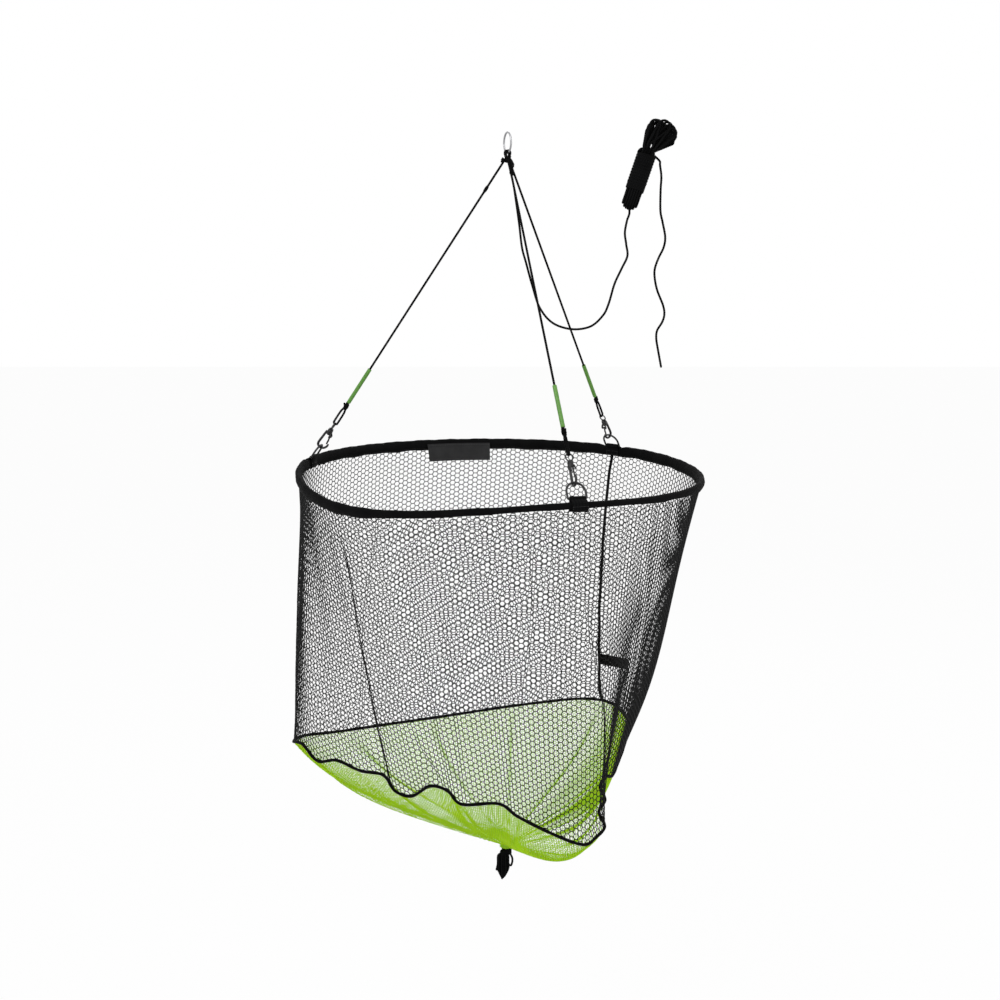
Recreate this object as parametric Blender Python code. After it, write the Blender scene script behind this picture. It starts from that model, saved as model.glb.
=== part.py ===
"""Drop net: a sprung hoop carries a netting basket with a fine-mesh bottom. Three bridle cords
with swivel snaps hang it from a lift ring, and the hauling rope is put up in a hank beside it.
Metres, +Z up. The origin is where a hook bears inside the top of the lift ring."""
import math

import bmesh
import bpy
from mathutils import Matrix, Vector

MM = 0.001
GAP = 0.0003
UP = Vector((0, 0, 1))

# Lift ring and the hitch of cords on it
RING_INNER_RADIUS = 0.0130
RING_WIRE_RADIUS = 0.0014
RING_TURN = math.radians(20)
HITCH_RADIUS = 0.0046
HITCH_WIDTH = 0.0080
HITCH_DROP = 0.0035
HITCH_KNOT = (0.0052, 0.0050, 0.0075)
HITCH_KNOT_DROP = 0.0040
HITCH_LEFT_STUB = 0.013
HITCH_REAR_STUB = 0.020
HITCH_FRONT_STUB = 0.034
HITCH_SWING_ROOM = 0.0003

# Cord and rope, and how many sides round pieces have
CORD_RADIUS = 0.0016
CORD_SIDES = 8
WIRE_SIDES = 6
PIN_SIDES = 10
ROUND_SIDES = 12
RING_STEPS = 32

# Hoop, its sleeve and the webbing tabs
HOOP_RADIUS = 0.2965
HOOP_OFFSET = (-0.0107, 0.0063)
HOOP_DROP = 0.486
HOOP_LEAN = -0.0131
HOOP_SAG = {"rear": 0.0008, "left": 0.0214, "front": 0.0070}
LEG_AZIMUTH = {"rear": math.radians(50.6), "left": math.radians(168), "front": math.radians(290.2)}
ROD_RADIUS = 0.0030
ROD_SPIGOT_RADIUS = 0.0020
FERRULE_WALL = 0.0007
FERRULE_STEP = 44
SPIGOT_END_GAP = 0.0010
SLEEVE_WALL = 0.0012
SLEEVE_TAIL = 0.0095
NET_THICKNESS = 0.0015
TAB_FACET = math.radians(7.5)
FACETS_AN_OPENING = 3
OPENINGS_A_STRETCH = 4
POST_FACET_SHARE = 0.30
SLEEVE_ARC_STEPS = 4
TAB_WIDTH = 0.0228
TAB_PLY = 0.0015
TAB_ROOM = 0.0005
TAB_SKIRT = 0.0080
TAB_TOP = 0.0132

# D-ring
D_BAR_AT = 0.0092
D_WIRE_RADIUS = 0.0015
D_HALF_WIDTH = 0.0134
D_HEIGHT = 0.0226
D_CORNER = 0.0018
D_SWING_ROOM = 0.0006

# Swivel snap
HOOK_WIRE_RADIUS = 0.0016
COLLAR_RADIUS = 0.0042
COLLAR_HEIGHT = 0.0078
SHANK_RADIUS = 0.0016
SHANK_HEAD_RADIUS = 0.0024
SHANK_HEAD_HEIGHT = 0.0013
EYE_WIRE_RADIUS = 0.00095
EYE_HALF_WIDTH = 0.0050
EYE_HEIGHT = 0.0105
EYE_BASE_RADIUS = 0.0036
EYE_BASE_HEIGHT = 0.0016
PIN_RADIUS = 0.0008
GATE_HUB_RADIUS = 0.0018
GATE_HALF_THICKNESS = 0.0008
LUG_HALF_WIDTH = 0.0036
LUG_RADIUS = 0.0021
LUG_TOP = 0.0030
LUG_SHOULDER = 0.0005
LUG_SINK = 0.0004
LUG_ROOT = 0.0024
GATE_HALF_WIDTH = 0.0011
SLOT_HALF_WIDTH = 0.0026
SPRING_WIRE_RADIUS = 0.00018
SPRING_TURNS = 2
SPRING_PITCH = 0.00042

# Cord loop, knot and grip sleeve
KNOT_RADIUS = 0.0040
KNOT_LENGTH = 0.0062
KNOT_AT = 0.1045
KNOT_STUB = (0.0058, 0.0010, 0.0035)
LOOP_HALF_WIDTH = 0.0030
LOOP_SPLAY = 0.0080
LOOP_STEP = 0.0100
GRIP_BOTTOM = 0.1110
GRIP_LENGTH = 0.0620
GRIP_RADIUS = 0.0030
GRIP_BORE = 0.0020
CORD_IN_GRIP = 0.015

# Netting basket
BINDING_RADIUS = 0.0023
WALL_BARS = ((0, 0.070), (0.355, 0.385), (0.655, 0.685), (0.955, 1))
BAG_ROWS = 5
BAG_CENTRE = (0.010, -0.100, -0.549)
BAG_CURVE = 1.7
BAG_ROW_EASE = 1.2
BAG_EDGE_ROOM = 0.7
BAG_START_SHARE = 0.03
BAG_TEST_SHARE = 0.004
BAG_TEST_TURN = 0.03
STEEPEST_SEAM = 0.4
BAG_LOBE_AT = (0.075, -0.185)
BAG_LOBE_DEPTH = 0.010
BAG_LOBE_SPREAD = 0.080
NECK_RADIUS = 0.0045
NECK_LENGTH = 0.0100
TIE_CORD_RADIUS = 0.0013
TIE_WRAP_DROP = 0.0045
TIE_WRAP_STEPS = 16
TIE_KNOT = (0.0046, 0.0040, 0.0056)
TIE_KNOT_OFF = (0.0040, -0.0010, -0.0080)
TIE_LOOP_STEP = 0.006
TIE_END_STEP = 0.008

# The tie's loop and its end, in millimetres from its knot
TIE_LOOP_POINTS = ((0, 0, 0), (5, 0, -6), (8.5, 0, -14), (6, 0, -22), (1, 0, -24), (-2, 0, -18), (-1, 0, -8))
TIE_END_POINTS = ((0, 0, 0), (-5, 3, -10), (-6, 3, -24), (-11, 2, -40), (-12, 1, -52))

# Lower seam of the basket, counted from the hoop's centre in steps of the seam's unit.
# The fine bottom is cut three-cornered, so the seam has a corner under each bridle.
SEAM_UNIT = 0.001
SEAM_POINTS = (
    (199, 20, -402), (196, 85, -405), (186, 138, -409), (166, 175, -413), (128, 187, -415),
    (72, 176, -417), (0, 153, -419), (-90, 119, -422), (-180, 76, -421), (-250, 31, -416),
    (-292, -10, -405), (-305, -55, -398), (-290, -100, -395), (-265, -121, -410),
    (-235, -138, -401), (-200, -155, -410), (-166, -170, -411), (-148, -178, -432),
    (-124, -188, -435), (-98, -199, -416), (-73, -209, -419), (-53, -216, -436),
    (-2, -236, -427), (24, -244, -442), (62, -260, -456), (98, -270, -468), (118, -262, -475),
    (134, -240, -462), (145, -219, -445), (150, -205, -418), (157, -175, -404),
    (171, -120, -410), (187, -50, -403),
)
# The seam point that hangs below each bridle, by its place in the list above
SEAM_CORNER = {"rear": 3.4, "left": 11.3, "front": 25.6}

# Labels and the side seam's tape
LABEL_THICKNESS = 0.0008
LABEL_ROOM = 0.0010
RIM_LABEL_FROM = math.radians(93.4)
RIM_LABEL_TO = math.radians(114.6)
RIM_LABEL_TOP = 0.0050
RIM_LABEL_TUCK = 0.0040
RIM_LABEL_HEIGHT = 0.0215
RIM_LABEL_STEPS = 10
TAPE_HALF_WIDTH = 0.0020
TAPE_THICKNESS = 0.0012
TAPE_LEG = "rear"
TAPE_SHIFT = -0.0030
TAPE_TOP = 0.0160
TAPE_END_SHARE = 0.985
TAPE_STEPS = 12
TAPE_ROOM = 0.0012
SIDE_LABEL_LENGTH = 0.048
SIDE_LABEL_HEIGHT = 0.014
SIDE_LABEL_SHARE = 0.86

# Hauling rope: the free stretches' own points, in millimetres, and the hank's sizes
LEAD_POINTS = (
    (8, 0, -69), (12, 0, -93), (17, 1, -128), (21, 2, -160), (27, 2, -182), (36, 2, -214),
    (47, 1, -246), (66, 0, -268), (94, 0, -277), (121, 0, -273), (139, 0, -257), (147, 0, -240),
    (155, 0, -212), (165, 0, -190), (173, 0, -172), (171, 0, -155), (169, 1, -139),
)
TAIL_POINTS = (
    (219, 13, -44), (221, 11, -60), (220, 8, -79), (220, 5, -108), (223, 2, -124),
    (227, 0, -145), (225, 0, -160), (218, 0, -175), (213, 0, -190), (213, 0, -203),
    (217, 0, -221), (226, 0, -243), (228, 0, -256), (225, 0, -267), (218, 0, -279),
    (217, 0, -291), (220, 0, -308), (225, 0, -333),
)
ROPE_STEP = 0.0090
BRIDLE_STEPS = 12
HANK_FOOT = (0.1728, 0.0, -0.1055)
HANK_LEAN = math.radians(18.5)
CORE_RADIUS = 0.0104
CORE_HEIGHT = 0.0840
BULB_RADIUS = 0.0132
BULB_RISE = 0.0105
BULB_HEIGHT = 0.0270
BULB_SHOULDER = 0.0050
CORE_FLUTES = 10
FLUTE_DEPTH = 0.0006
LEAD_IN_ACROSS = 0.0045
LEAD_IN_DEPTH = 0.0035
LEAD_IN_DROP = 0.0105
LEAD_IN_STEP = 0.0022
LEAD_IN_STEPS = 10
LEAD_IN_HASTE = 0.12
# The rope's bend behind the foot: shares of its place across and behind, and heights in millimetres
LEAD_IN_BEND = ((0.9, 0.50, -3.0), (0.7, 0.76, 0.6), (0.4, 0.96, 5.8), (0, 1, 12.0))
HANK_STEP = 0.0035
TAIL_BEND = 0.0085
TAIL_DIP = 0.0012
WRAP_START = 0.0385
WRAP_PITCH = 0.00415
WRAP_TURNS = 10
FAN_LOOPS = 6
FAN_DEPTH_STEP = 0.0046
FAN_FOOT_RADIUS = 0.0064
FAN_TIP_RADIUS = 0.0080
FAN_REACH = 0.0300
FAN_FIRST_ACROSS = -0.0025
FAN_LAST_ACROSS = 0.0050
FAN_FIRST_LEAN = math.radians(-4)
FAN_LAST_LEAN = math.radians(30)
POINTS_A_LOOP = 24
COIL_GAP = 0.0005


for old in list(bpy.data.objects):
    bpy.data.objects.remove(old)


def finish(name, colour, roughness, metallic):
    """A Principled material of the piece's own."""
    made = bpy.data.materials.new(name)
    made.use_nodes = True
    shader = made.node_tree.nodes["Principled BSDF"]
    shader.inputs["Base Color"].default_value = (*colour, 1)
    shader.inputs["Roughness"].default_value = roughness
    shader.inputs["Metallic"].default_value = metallic
    return made


BLACK_CORD = ((0.012, 0.012, 0.013), 0.75, 0.0)
BLACK_WEBBING = ((0.010, 0.010, 0.011), 0.85, 0.0)
BLACK_NET = ((0.02, 0.02, 0.02), 0.7, 0.0)
LIME_NET = ((0.42, 0.72, 0.03), 0.6, 0.0)
GREEN_TUBE = ((0.13, 0.32, 0.04), 0.4, 0.0)
BLACK_METAL = ((0.02, 0.02, 0.022), 0.35, 0.6)
STEEL = ((0.62, 0.62, 0.64), 0.25, 1.0)


def piece(name, mesh, look, parent=None, place=None, smooth=True):
    """An object with the mesh, under its parent empty, at a place in the parent's own frame."""
    if isinstance(mesh, bmesh.types.BMesh):
        bmesh.ops.recalc_face_normals(mesh, faces=mesh.faces)
        data = bpy.data.meshes.new(name)
        mesh.to_mesh(data)
        mesh.free()
    else:
        data = mesh
    made = bpy.data.objects.new(name, data)
    bpy.context.scene.collection.objects.link(made)
    if smooth and made.type == "MESH":
        data.shade_smooth()
        data.set_sharp_from_angle(angle=math.radians(40))
    data.materials.append(finish(name, *look))
    made.parent = parent
    if place is not None:
        made.matrix_local = place
    return made


def empty(name, frame):
    """An empty that carries the pieces of one body."""
    made = bpy.data.objects.new(name, None)
    bpy.context.scene.collection.objects.link(made)
    made.matrix_world = frame
    return made


def frame_of(origin, x_axis, z_axis):
    """A right-handed frame with its Z along z_axis and its X as near x_axis as it can be."""
    z_axis = z_axis.normalized()
    x_axis = (x_axis - x_axis.dot(z_axis) * z_axis).normalized()
    y_axis = z_axis.cross(x_axis)
    made = Matrix((x_axis, y_axis, z_axis)).transposed().to_4x4()
    made.translation = origin
    return made


def skin(rings, closed_along=False, cap=True):
    """A bmesh of quads between rings of points, which all have the same number of points."""
    bm = bmesh.new()
    made = [[bm.verts.new(p) for p in ring] for ring in rings]
    pairs = list(zip(made, made[1:]))
    if closed_along:
        pairs.append((made[-1], made[0]))
    for one, other in pairs:
        for i in range(len(one)):
            j = (i + 1) % len(one)
            bm.faces.new((one[i], one[j], other[j], other[i]))
    if cap and not closed_along:
        bm.faces.new(made[0][::-1])
        bm.faces.new(made[-1])
    return bm


def tube(path, radius, sides, closed=False):
    """A round tube along a path. The radius is one value, or one for each point."""
    radii = radius if isinstance(radius, (list, tuple)) else [radius] * len(path)
    count = len(path)
    tangents = []
    for i in range(count):
        before = path[i - 1] if i or closed else path[0]
        after = path[(i + 1) % count] if i < count - 1 or closed else path[-1]
        tangents.append((after - before).normalized())
    side = tangents[0].orthogonal().normalized()
    sides_at = []
    for tangent in tangents:
        side = (side - side.dot(tangent) * tangent).normalized()
        sides_at.append(side)
    twist = 0.0
    if closed:
        last = sides_at[-1]
        last = (last - last.dot(tangents[0]) * tangents[0]).normalized()
        twist = math.atan2(last.cross(sides_at[0]).dot(tangents[0]), last.dot(sides_at[0]))
    rings = []
    for i, point in enumerate(path):
        other = tangents[i].cross(sides_at[i])
        turn = twist * i / count
        ring = []
        for k in range(sides):
            angle = math.tau * k / sides + turn
            ring.append(point + radii[i] * (math.cos(angle) * sides_at[i] + math.sin(angle) * other))
        rings.append(ring)
    return skin(rings, closed_along=closed)


def openwork(outside, inside, cells):
    """A closed bmesh between two like sheets of points, solid only in the cells. A cell is its two
    opposite corners, by row and column. The sheets' triangles match, so they stay apart."""
    bm = bmesh.new()
    made = {}

    def corner(sheet, place):
        if (sheet, place) not in made:
            row, column = place
            made[sheet, place] = bm.verts.new((outside, inside)[sheet][row][column])
        return made[sheet, place]

    edges = set()
    for (row, column), (next_row, next_column) in cells:
        around = [(row, column), (row, next_column), (next_row, next_column), (next_row, column)]
        for sheet in (0, 1):
            a, b, c, d = [corner(sheet, place) for place in around]
            bm.faces.new((a, b, c))
            bm.faces.new((a, c, d))
        for one, other in zip(around, around[1:] + around[:1]):
            if (other, one) in edges:
                edges.remove((other, one))
            else:
                edges.add((one, other))
    for one, other in sorted(edges):
        bm.faces.new((corner(0, one), corner(0, other), corner(1, other), corner(1, one)))
    return bm


def extruded(outline, half_width):
    """A plate from an outline in X and Z, as wide along Y as twice half_width."""
    rings = [[Vector((x, y, z)) for x, z in outline] for y in (-half_width, half_width)]
    return skin(rings)


def smooth_curve(points, step, closed=False):
    """Points about one step apart along a smooth curve through the given points."""
    count = len(points)
    spans = count if closed else count - 1
    made = []
    for i in range(spans):
        p1, p2 = points[i], points[(i + 1) % count]
        p0 = points[i - 1] if i or closed else p1 + (p1 - p2)
        p3 = points[(i + 2) % count] if i < count - 2 or closed else p2 + (p2 - p1)
        parts = max(1, round((p2 - p1).length / step))
        for k in range(parts):
            made.append(between(p0, p1, p2, p3, k / parts))
    if not closed:
        made.append(points[-1])
    return made


def between(p0, p1, p2, p3, t):
    """A point of the smooth curve that runs from p1 to p2."""
    return 0.5 * (
        2 * p1
        + (p2 - p0) * t
        + (2 * p0 - 5 * p1 + 4 * p2 - p3) * t * t
        + (3 * p1 - p0 - 3 * p2 + p3) * t**3
    )


def cord(name, path, look, parent, bevel_resolution=2):
    """A free stretch of cord: a curve with a round bevel and filled ends."""
    data = bpy.data.curves.new(name, "CURVE")
    data.dimensions = "3D"
    data.bevel_depth = CORD_RADIUS
    data.bevel_resolution = bevel_resolution
    data.use_fill_caps = True
    spline = data.splines.new("POLY")
    spline.points.add(len(path) - 1)
    local = parent.matrix_world.inverted()
    for point, position in zip(spline.points, path):
        point.co = (*(local @ position), 1)
    return piece(name, data, look, parent)


def cut(target, tool, operation="DIFFERENCE"):
    """Applies an exact Boolean of the tool's bmesh to the target's bmesh, and returns a bmesh."""
    made = []
    for bm in (target, tool):
        bmesh.ops.recalc_face_normals(bm, faces=bm.faces)
        data = bpy.data.meshes.new("working")
        bm.to_mesh(data)
        bm.free()
        holder = bpy.data.objects.new("working", data)
        bpy.context.scene.collection.objects.link(holder)
        made.append(holder)
    change = made[0].modifiers.new("cut", "BOOLEAN")
    change.operation = operation
    change.solver = "EXACT"
    change.object = made[1]
    bpy.context.view_layer.update()
    result = bmesh.new()
    result.from_object(made[0], bpy.context.evaluated_depsgraph_get())
    for holder in made:
        bpy.data.objects.remove(holder)
    bmesh.ops.remove_doubles(result, verts=result.verts, dist=1e-6)
    bmesh.ops.dissolve_degenerate(result, edges=result.edges, dist=1e-6)
    return result


def joined(first, *others):
    """The union of several closed bmeshes."""
    for other in others:
        first = cut(first, other, "UNION")
    return first


def rod_between(start, end, radius, sides=12):
    return tube([start, end], radius, sides)


def ball(centre, radii, segments=12, rings=8):
    bm = bmesh.new()
    bmesh.ops.create_uvsphere(bm, u_segments=segments, v_segments=rings, radius=1)
    bmesh.ops.transform(bm, verts=bm.verts, matrix=Matrix.Translation(centre) @ Matrix.Diagonal((*radii, 1)))
    return bm


# Where the hoop, its legs and the lower seam lie
APEX = Vector((0, 0, -2 * RING_INNER_RADIUS - RING_WIRE_RADIUS - HITCH_DROP))
HOOP_CENTRE = Vector((*HOOP_OFFSET, -HOOP_DROP))
LEG_ORDER = sorted(LEG_AZIMUTH, key=LEG_AZIMUTH.get)


def hoop_point(azimuth):
    """The hoop rod's centre line. The hoop is held at the legs, and it sags between them."""
    azimuth %= math.tau
    drop = 0.0
    for i, leg in enumerate(LEG_ORDER):
        start = LEG_AZIMUTH[leg]
        span = (LEG_AZIMUTH[LEG_ORDER[(i + 1) % 3]] - start) % math.tau
        share = ((azimuth - start) % math.tau) / span
        if share < 1:
            drop = HOOP_SAG[leg] * math.sin(math.pi * share) ** 2
    x = HOOP_RADIUS * math.cos(azimuth)
    y = HOOP_RADIUS * math.sin(azimuth)
    return HOOP_CENTRE + Vector((x, y, HOOP_LEAN * x - drop))


def outward(azimuth):
    return Vector((math.cos(azimuth), math.sin(azimuth), 0))


def seam_point(place):
    """The lower seam's centre line at a place that counts along its list of points."""
    count = len(SEAM_POINTS)
    i = math.floor(place)
    near = [Vector(SEAM_POINTS[(i + k) % count]) * SEAM_UNIT for k in (-1, 0, 1, 2)]
    return HOOP_CENTRE + between(*near, place - i)


def seam_lengths():
    """The seam's length up to each of 20 places in each of its spans."""
    steps = 20
    places = [k / steps for k in range(len(SEAM_POINTS) * steps + 1)]
    lengths = [0.0]
    for a, b in zip(places, places[1:]):
        lengths.append(lengths[-1] + (seam_point(b) - seam_point(a)).length)
    return places, lengths


SEAM_PLACES, SEAM_LENGTHS = seam_lengths()


def length_at(place):
    steps = len(SEAM_PLACES) - 1
    at = place / len(SEAM_POINTS) * steps
    i = min(int(at), steps - 1)
    return SEAM_LENGTHS[i] + (at - i) * (SEAM_LENGTHS[i + 1] - SEAM_LENGTHS[i])


def place_at(length):
    length %= SEAM_LENGTHS[-1]
    i = 0
    while SEAM_LENGTHS[i + 1] < length:
        i += 1
    share = (length - SEAM_LENGTHS[i]) / (SEAM_LENGTHS[i + 1] - SEAM_LENGTHS[i])
    return SEAM_PLACES[i] + share * (SEAM_PLACES[i + 1] - SEAM_PLACES[i])


def seam_below(azimuth):
    """The seam point that a line of netting reaches when it leaves the hoop at an azimuth."""
    azimuth %= math.tau
    total = SEAM_LENGTHS[-1]
    for i, leg in enumerate(LEG_ORDER):
        after = LEG_ORDER[(i + 1) % 3]
        span = (LEG_AZIMUTH[after] - LEG_AZIMUTH[leg]) % math.tau
        share = ((azimuth - LEG_AZIMUTH[leg]) % math.tau) / span
        if share < 1:
            start = length_at(SEAM_CORNER[leg])
            run = (length_at(SEAM_CORNER[after]) - start) % total
            return seam_point(place_at(start + share * run))
    raise ValueError("no leg spans this azimuth")


def tail_direction(azimuth):
    """The way the sleeve's tail points, down and towards the seam, square to the rod."""
    way = seam_below(azimuth) - hoop_point(azimuth)
    radial = way.dot(outward(azimuth))
    return Vector((radial * math.cos(azimuth), radial * math.sin(azimuth), way.z)).normalized()


def rim_side(azimuth):
    """Square to the tail and the rod, outwards."""
    tail = tail_direction(azimuth)
    out = outward(azimuth)
    return (out - out.dot(tail) * tail).normalized()


def rim_azimuths():
    """The corners of the faceted rim. Each leg has a facet of its own, and its tab sits on that.
    Between two legs there is a narrow facet for each post of the wall's grid."""
    opening = [1.0] * FACETS_AN_OPENING
    widths = opening + ([POST_FACET_SHARE] + opening) * (OPENINGS_A_STRETCH - 1)
    made = []
    for i, leg in enumerate(LEG_ORDER):
        start = LEG_AZIMUTH[leg] + TAB_FACET / 2
        span = (LEG_AZIMUTH[LEG_ORDER[(i + 1) % 3]] - TAB_FACET / 2 - start) % math.tau
        made += [start + span * sum(widths[:k]) / sum(widths) for k in range(len(widths) + 1)]
    return made


RIM_AZIMUTHS = rim_azimuths()


def leg_facet(leg):
    return [LEG_AZIMUTH[leg] - TAB_FACET / 2, LEG_AZIMUTH[leg] + TAB_FACET / 2]


def wall_point(azimuth, along, off=0.0):
    """A point of the wall netting, a distance down from the rod, off its middle surface."""
    top = hoop_point(azimuth)
    run = seam_below(azimuth) - top
    return top + run.normalized() * along + rim_side(azimuth) * off


def wall_length(azimuth):
    return (seam_below(azimuth) - hoop_point(azimuth)).length


def clear_of_seam(azimuth, way):
    """How far netting that leaves the seam in a direction starts from the binding's middle."""
    slant = 1.0
    for other in (azimuth - TAB_FACET, azimuth + TAB_FACET):
        along = (seam_below(other) - seam_below(azimuth)).normalized()
        slant = min(slant, along.cross(way.normalized()).length)
    return (BINDING_RADIUS + GAP + NET_THICKNESS / 2) / max(slant, STEEPEST_SEAM)


# Lift ring
root = empty("lift", Matrix.Identity(4))
ring_centre = Vector((0, 0, -RING_INNER_RADIUS))
ring_frame = frame_of(ring_centre, UP, Vector((math.cos(RING_TURN), math.sin(RING_TURN), 0)))
ring_mid_radius = RING_INNER_RADIUS + RING_WIRE_RADIUS


def ring_path(steps):
    path = []
    for i in range(steps):
        angle = math.tau * i / steps
        path.append(Vector((math.cos(angle), math.sin(angle), 0)) * ring_mid_radius)
    return path


lift_ring_mesh = tube(ring_path(RING_STEPS), RING_WIRE_RADIUS, WIRE_SIDES, closed=True)
piece("lift_ring", lift_ring_mesh, STEEL, root, ring_frame)

# Everything that swings below the ring hangs from an empty on the ring's axis
net = empty("net", Matrix.Translation(ring_centre))
net_local = net.matrix_world.inverted()


def saddle_frame(leg):
    """The frame of a leg's tab: X outwards, Y along the rim's facet, Z up, from the rod."""
    start, end = [hoop_point(a) for a in leg_facet(leg)]
    along = (end - start).normalized()
    out = along.cross(UP).normalized()
    return frame_of((start + end) / 2, out, out.cross(along))


def leg_frame(leg):
    """The frame of a leg: Z up the cord from the rod, X outwards, square to the cord."""
    saddle = saddle_frame(leg)
    return frame_of(saddle.translation, saddle.col[0].xyz, APEX - saddle.translation)


SADDLES = {leg: saddle_frame(leg) for leg in LEG_ORDER}
LEG_FRAMES = {leg: leg_frame(leg) for leg in LEG_ORDER}
LEG_LENGTHS = {leg: (APEX - LEG_FRAMES[leg].translation).length for leg in LEG_ORDER}
LEG_STUBS = {"left": HITCH_LEFT_STUB, "rear": HITCH_REAR_STUB, "front": HITCH_FRONT_STUB}

# Hitch of cords round the lift ring
ring_low = ring_centre - UP * ring_mid_radius
ring_way = Vector((-math.sin(RING_TURN), math.cos(RING_TURN), 0))
lead_start = Vector(LEAD_POINTS[0]) * MM
half_hitch = ring_way * HITCH_WIDTH / 2
stub_ends = [LEG_FRAMES[leg] @ Vector((0, 0, LEG_LENGTHS[leg] - LEG_STUBS[leg])) for leg in LEG_ORDER]
hitch = joined(
    rod_between(ring_low - half_hitch, ring_low + half_hitch, HITCH_RADIUS, 2 * CORD_SIDES),
    ball(APEX - UP * HITCH_KNOT_DROP, HITCH_KNOT),
    *[rod_between(APEX, end, CORD_RADIUS, CORD_SIDES) for end in stub_ends],
    rod_between(APEX, lead_start, CORD_RADIUS, CORD_SIDES),
)
room = tube(ring_path(RING_STEPS), RING_WIRE_RADIUS + HITCH_SWING_ROOM, CORD_SIDES, closed=True)
bmesh.ops.transform(room, matrix=ring_frame, verts=room.verts)
hitch = cut(hitch, room)
bmesh.ops.transform(hitch, matrix=net_local, verts=hitch.verts)
piece("ring_hitch", hitch, BLACK_CORD, net)

# Hoop: a rod bent to a ring, with its ends turned down and joined in a straight ferrule
rim_count = len(RIM_AZIMUTHS)
ferrule_start = hoop_point(RIM_AZIMUTHS[FERRULE_STEP])
ferrule_end = hoop_point(RIM_AZIMUTHS[FERRULE_STEP + 1])
ferrule_way = (ferrule_end - ferrule_start).normalized()
ferrule_middle = (ferrule_start + ferrule_end) / 2
rod_run = [hoop_point(RIM_AZIMUTHS[(FERRULE_STEP + k) % rim_count]) for k in range(2, rim_count)]
shoulder_room = GAP + ROD_RADIUS * math.sin(TAB_FACET)
first_shoulder = ferrule_end + ferrule_way * shoulder_room
last_shoulder = ferrule_start - ferrule_way * shoulder_room
half_end_gap = ferrule_way * SPIGOT_END_GAP / 2
shoulder_step = ferrule_way * GAP / 10
rod_path = [ferrule_middle + half_end_gap, first_shoulder, first_shoulder + shoulder_step]
rod_path += rod_run
rod_path += [last_shoulder - shoulder_step, last_shoulder, ferrule_middle - half_end_gap]
rod_radii = [ROD_SPIGOT_RADIUS] * 2 + [ROD_RADIUS] * (len(rod_run) + 2) + [ROD_SPIGOT_RADIUS] * 2
piece("hoop_rod", tube([net_local @ p for p in rod_path], rod_radii, WIRE_SIDES), STEEL, net)
ferrule = rod_between(ferrule_start, ferrule_end, ROD_RADIUS, ROUND_SIDES)
bore_ends = [ferrule_start - ferrule_way, ferrule_end + ferrule_way]
ferrule = cut(ferrule, rod_between(*bore_ends, ROD_RADIUS - FERRULE_WALL, ROUND_SIDES))
bmesh.ops.transform(ferrule, matrix=net_local, verts=ferrule.verts)
piece("hoop_ferrule", ferrule, STEEL, net)


def section_rings(azimuths, profile):
    """Rings of points round the hoop: a profile of (side, tail) pairs at each azimuth."""
    rings = []
    for azimuth in azimuths:
        centre = hoop_point(azimuth)
        side = rim_side(azimuth)
        tail = tail_direction(azimuth)
        rings.append([net_local @ (centre + side * s + tail * t) for s, t in profile])
    return rings


# Sleeve round the hoop, open in a slit where the netting goes in
sleeve_inner = (ROD_RADIUS + GAP) / math.cos(math.pi / (2 * SLEEVE_ARC_STEPS))
sleeve_outer = sleeve_inner + SLEEVE_WALL
slit_half = NET_THICKNESS / 2 + 2 * GAP
lip_half = slit_half + SLEEVE_WALL


def sleeve_profile():
    arc = [math.pi * k / SLEEVE_ARC_STEPS for k in range(SLEEVE_ARC_STEPS + 1)]
    outer = [(lip_half, SLEEVE_TAIL)]
    outer += [(sleeve_outer * math.cos(a), -sleeve_outer * math.sin(a)) for a in arc]
    outer.append((-lip_half, SLEEVE_TAIL))
    inner = [(-slit_half, SLEEVE_TAIL), (-slit_half, sleeve_inner)]
    inner += [(-sleeve_inner * math.cos(a), -sleeve_inner * math.sin(a)) for a in arc]
    inner += [(slit_half, sleeve_inner), (slit_half, SLEEVE_TAIL)]
    return outer + inner


piece(
    "rim_sleeve",
    skin(section_rings(RIM_AZIMUTHS, sleeve_profile()), closed_along=True),
    BLACK_WEBBING,
    net,
)

# Wall netting: from inside the sleeve's slit down to the lower seam. A plain grid of openings
# stands for its meshes: bars run round it, and posts run down it on the legs' facets and between.
wall_start = sleeve_inner + 2 * GAP + NET_THICKNESS / 2


def wall_sheet(off, shares):
    rows = []
    for share in shares:
        row = []
        for azimuth in RIM_AZIMUTHS:
            way = seam_below(azimuth) - hoop_point(azimuth)
            end = way.length - clear_of_seam(azimuth, way)
            row.append(net_local @ wall_point(azimuth, wall_start + share * (end - wall_start), off))
        rows.append(row)
    return rows


wall_shares = [share for bar in WALL_BARS for share in bar]
wall_outside = wall_sheet(NET_THICKNESS / 2, wall_shares)
wall_inside = wall_sheet(-NET_THICKNESS / 2, wall_shares)
post_step = FACETS_AN_OPENING + 1
wall_cells = []
for row in range(len(wall_shares) - 1):
    in_bar = row % 2 == 0
    for column in range(rim_count):
        on_post = column % post_step == FACETS_AN_OPENING
        if in_bar or on_post:
            wall_cells.append(((row, column), (row + 1, (column + 1) % rim_count)))
piece("net_wall", openwork(wall_outside, wall_inside, wall_cells), BLACK_NET, net)

# Lower part of the basket, which rises to the hoop when the net is laid on the ground
floor = empty("net_floor", Matrix.Translation(HOOP_CENTRE))
floor_local = floor.matrix_world.inverted()
seam_rings = [seam_below(azimuth) for azimuth in RIM_AZIMUTHS]
piece(
    "bottom_seam_binding",
    tube([floor_local @ p for p in seam_rings], BINDING_RADIUS, 6, closed=True),
    BLACK_WEBBING,
    floor,
)

bag_centre = HOOP_CENTRE + Vector(BAG_CENTRE)
lobe_centre = HOOP_CENTRE + Vector((*BAG_LOBE_AT, 0))


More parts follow.
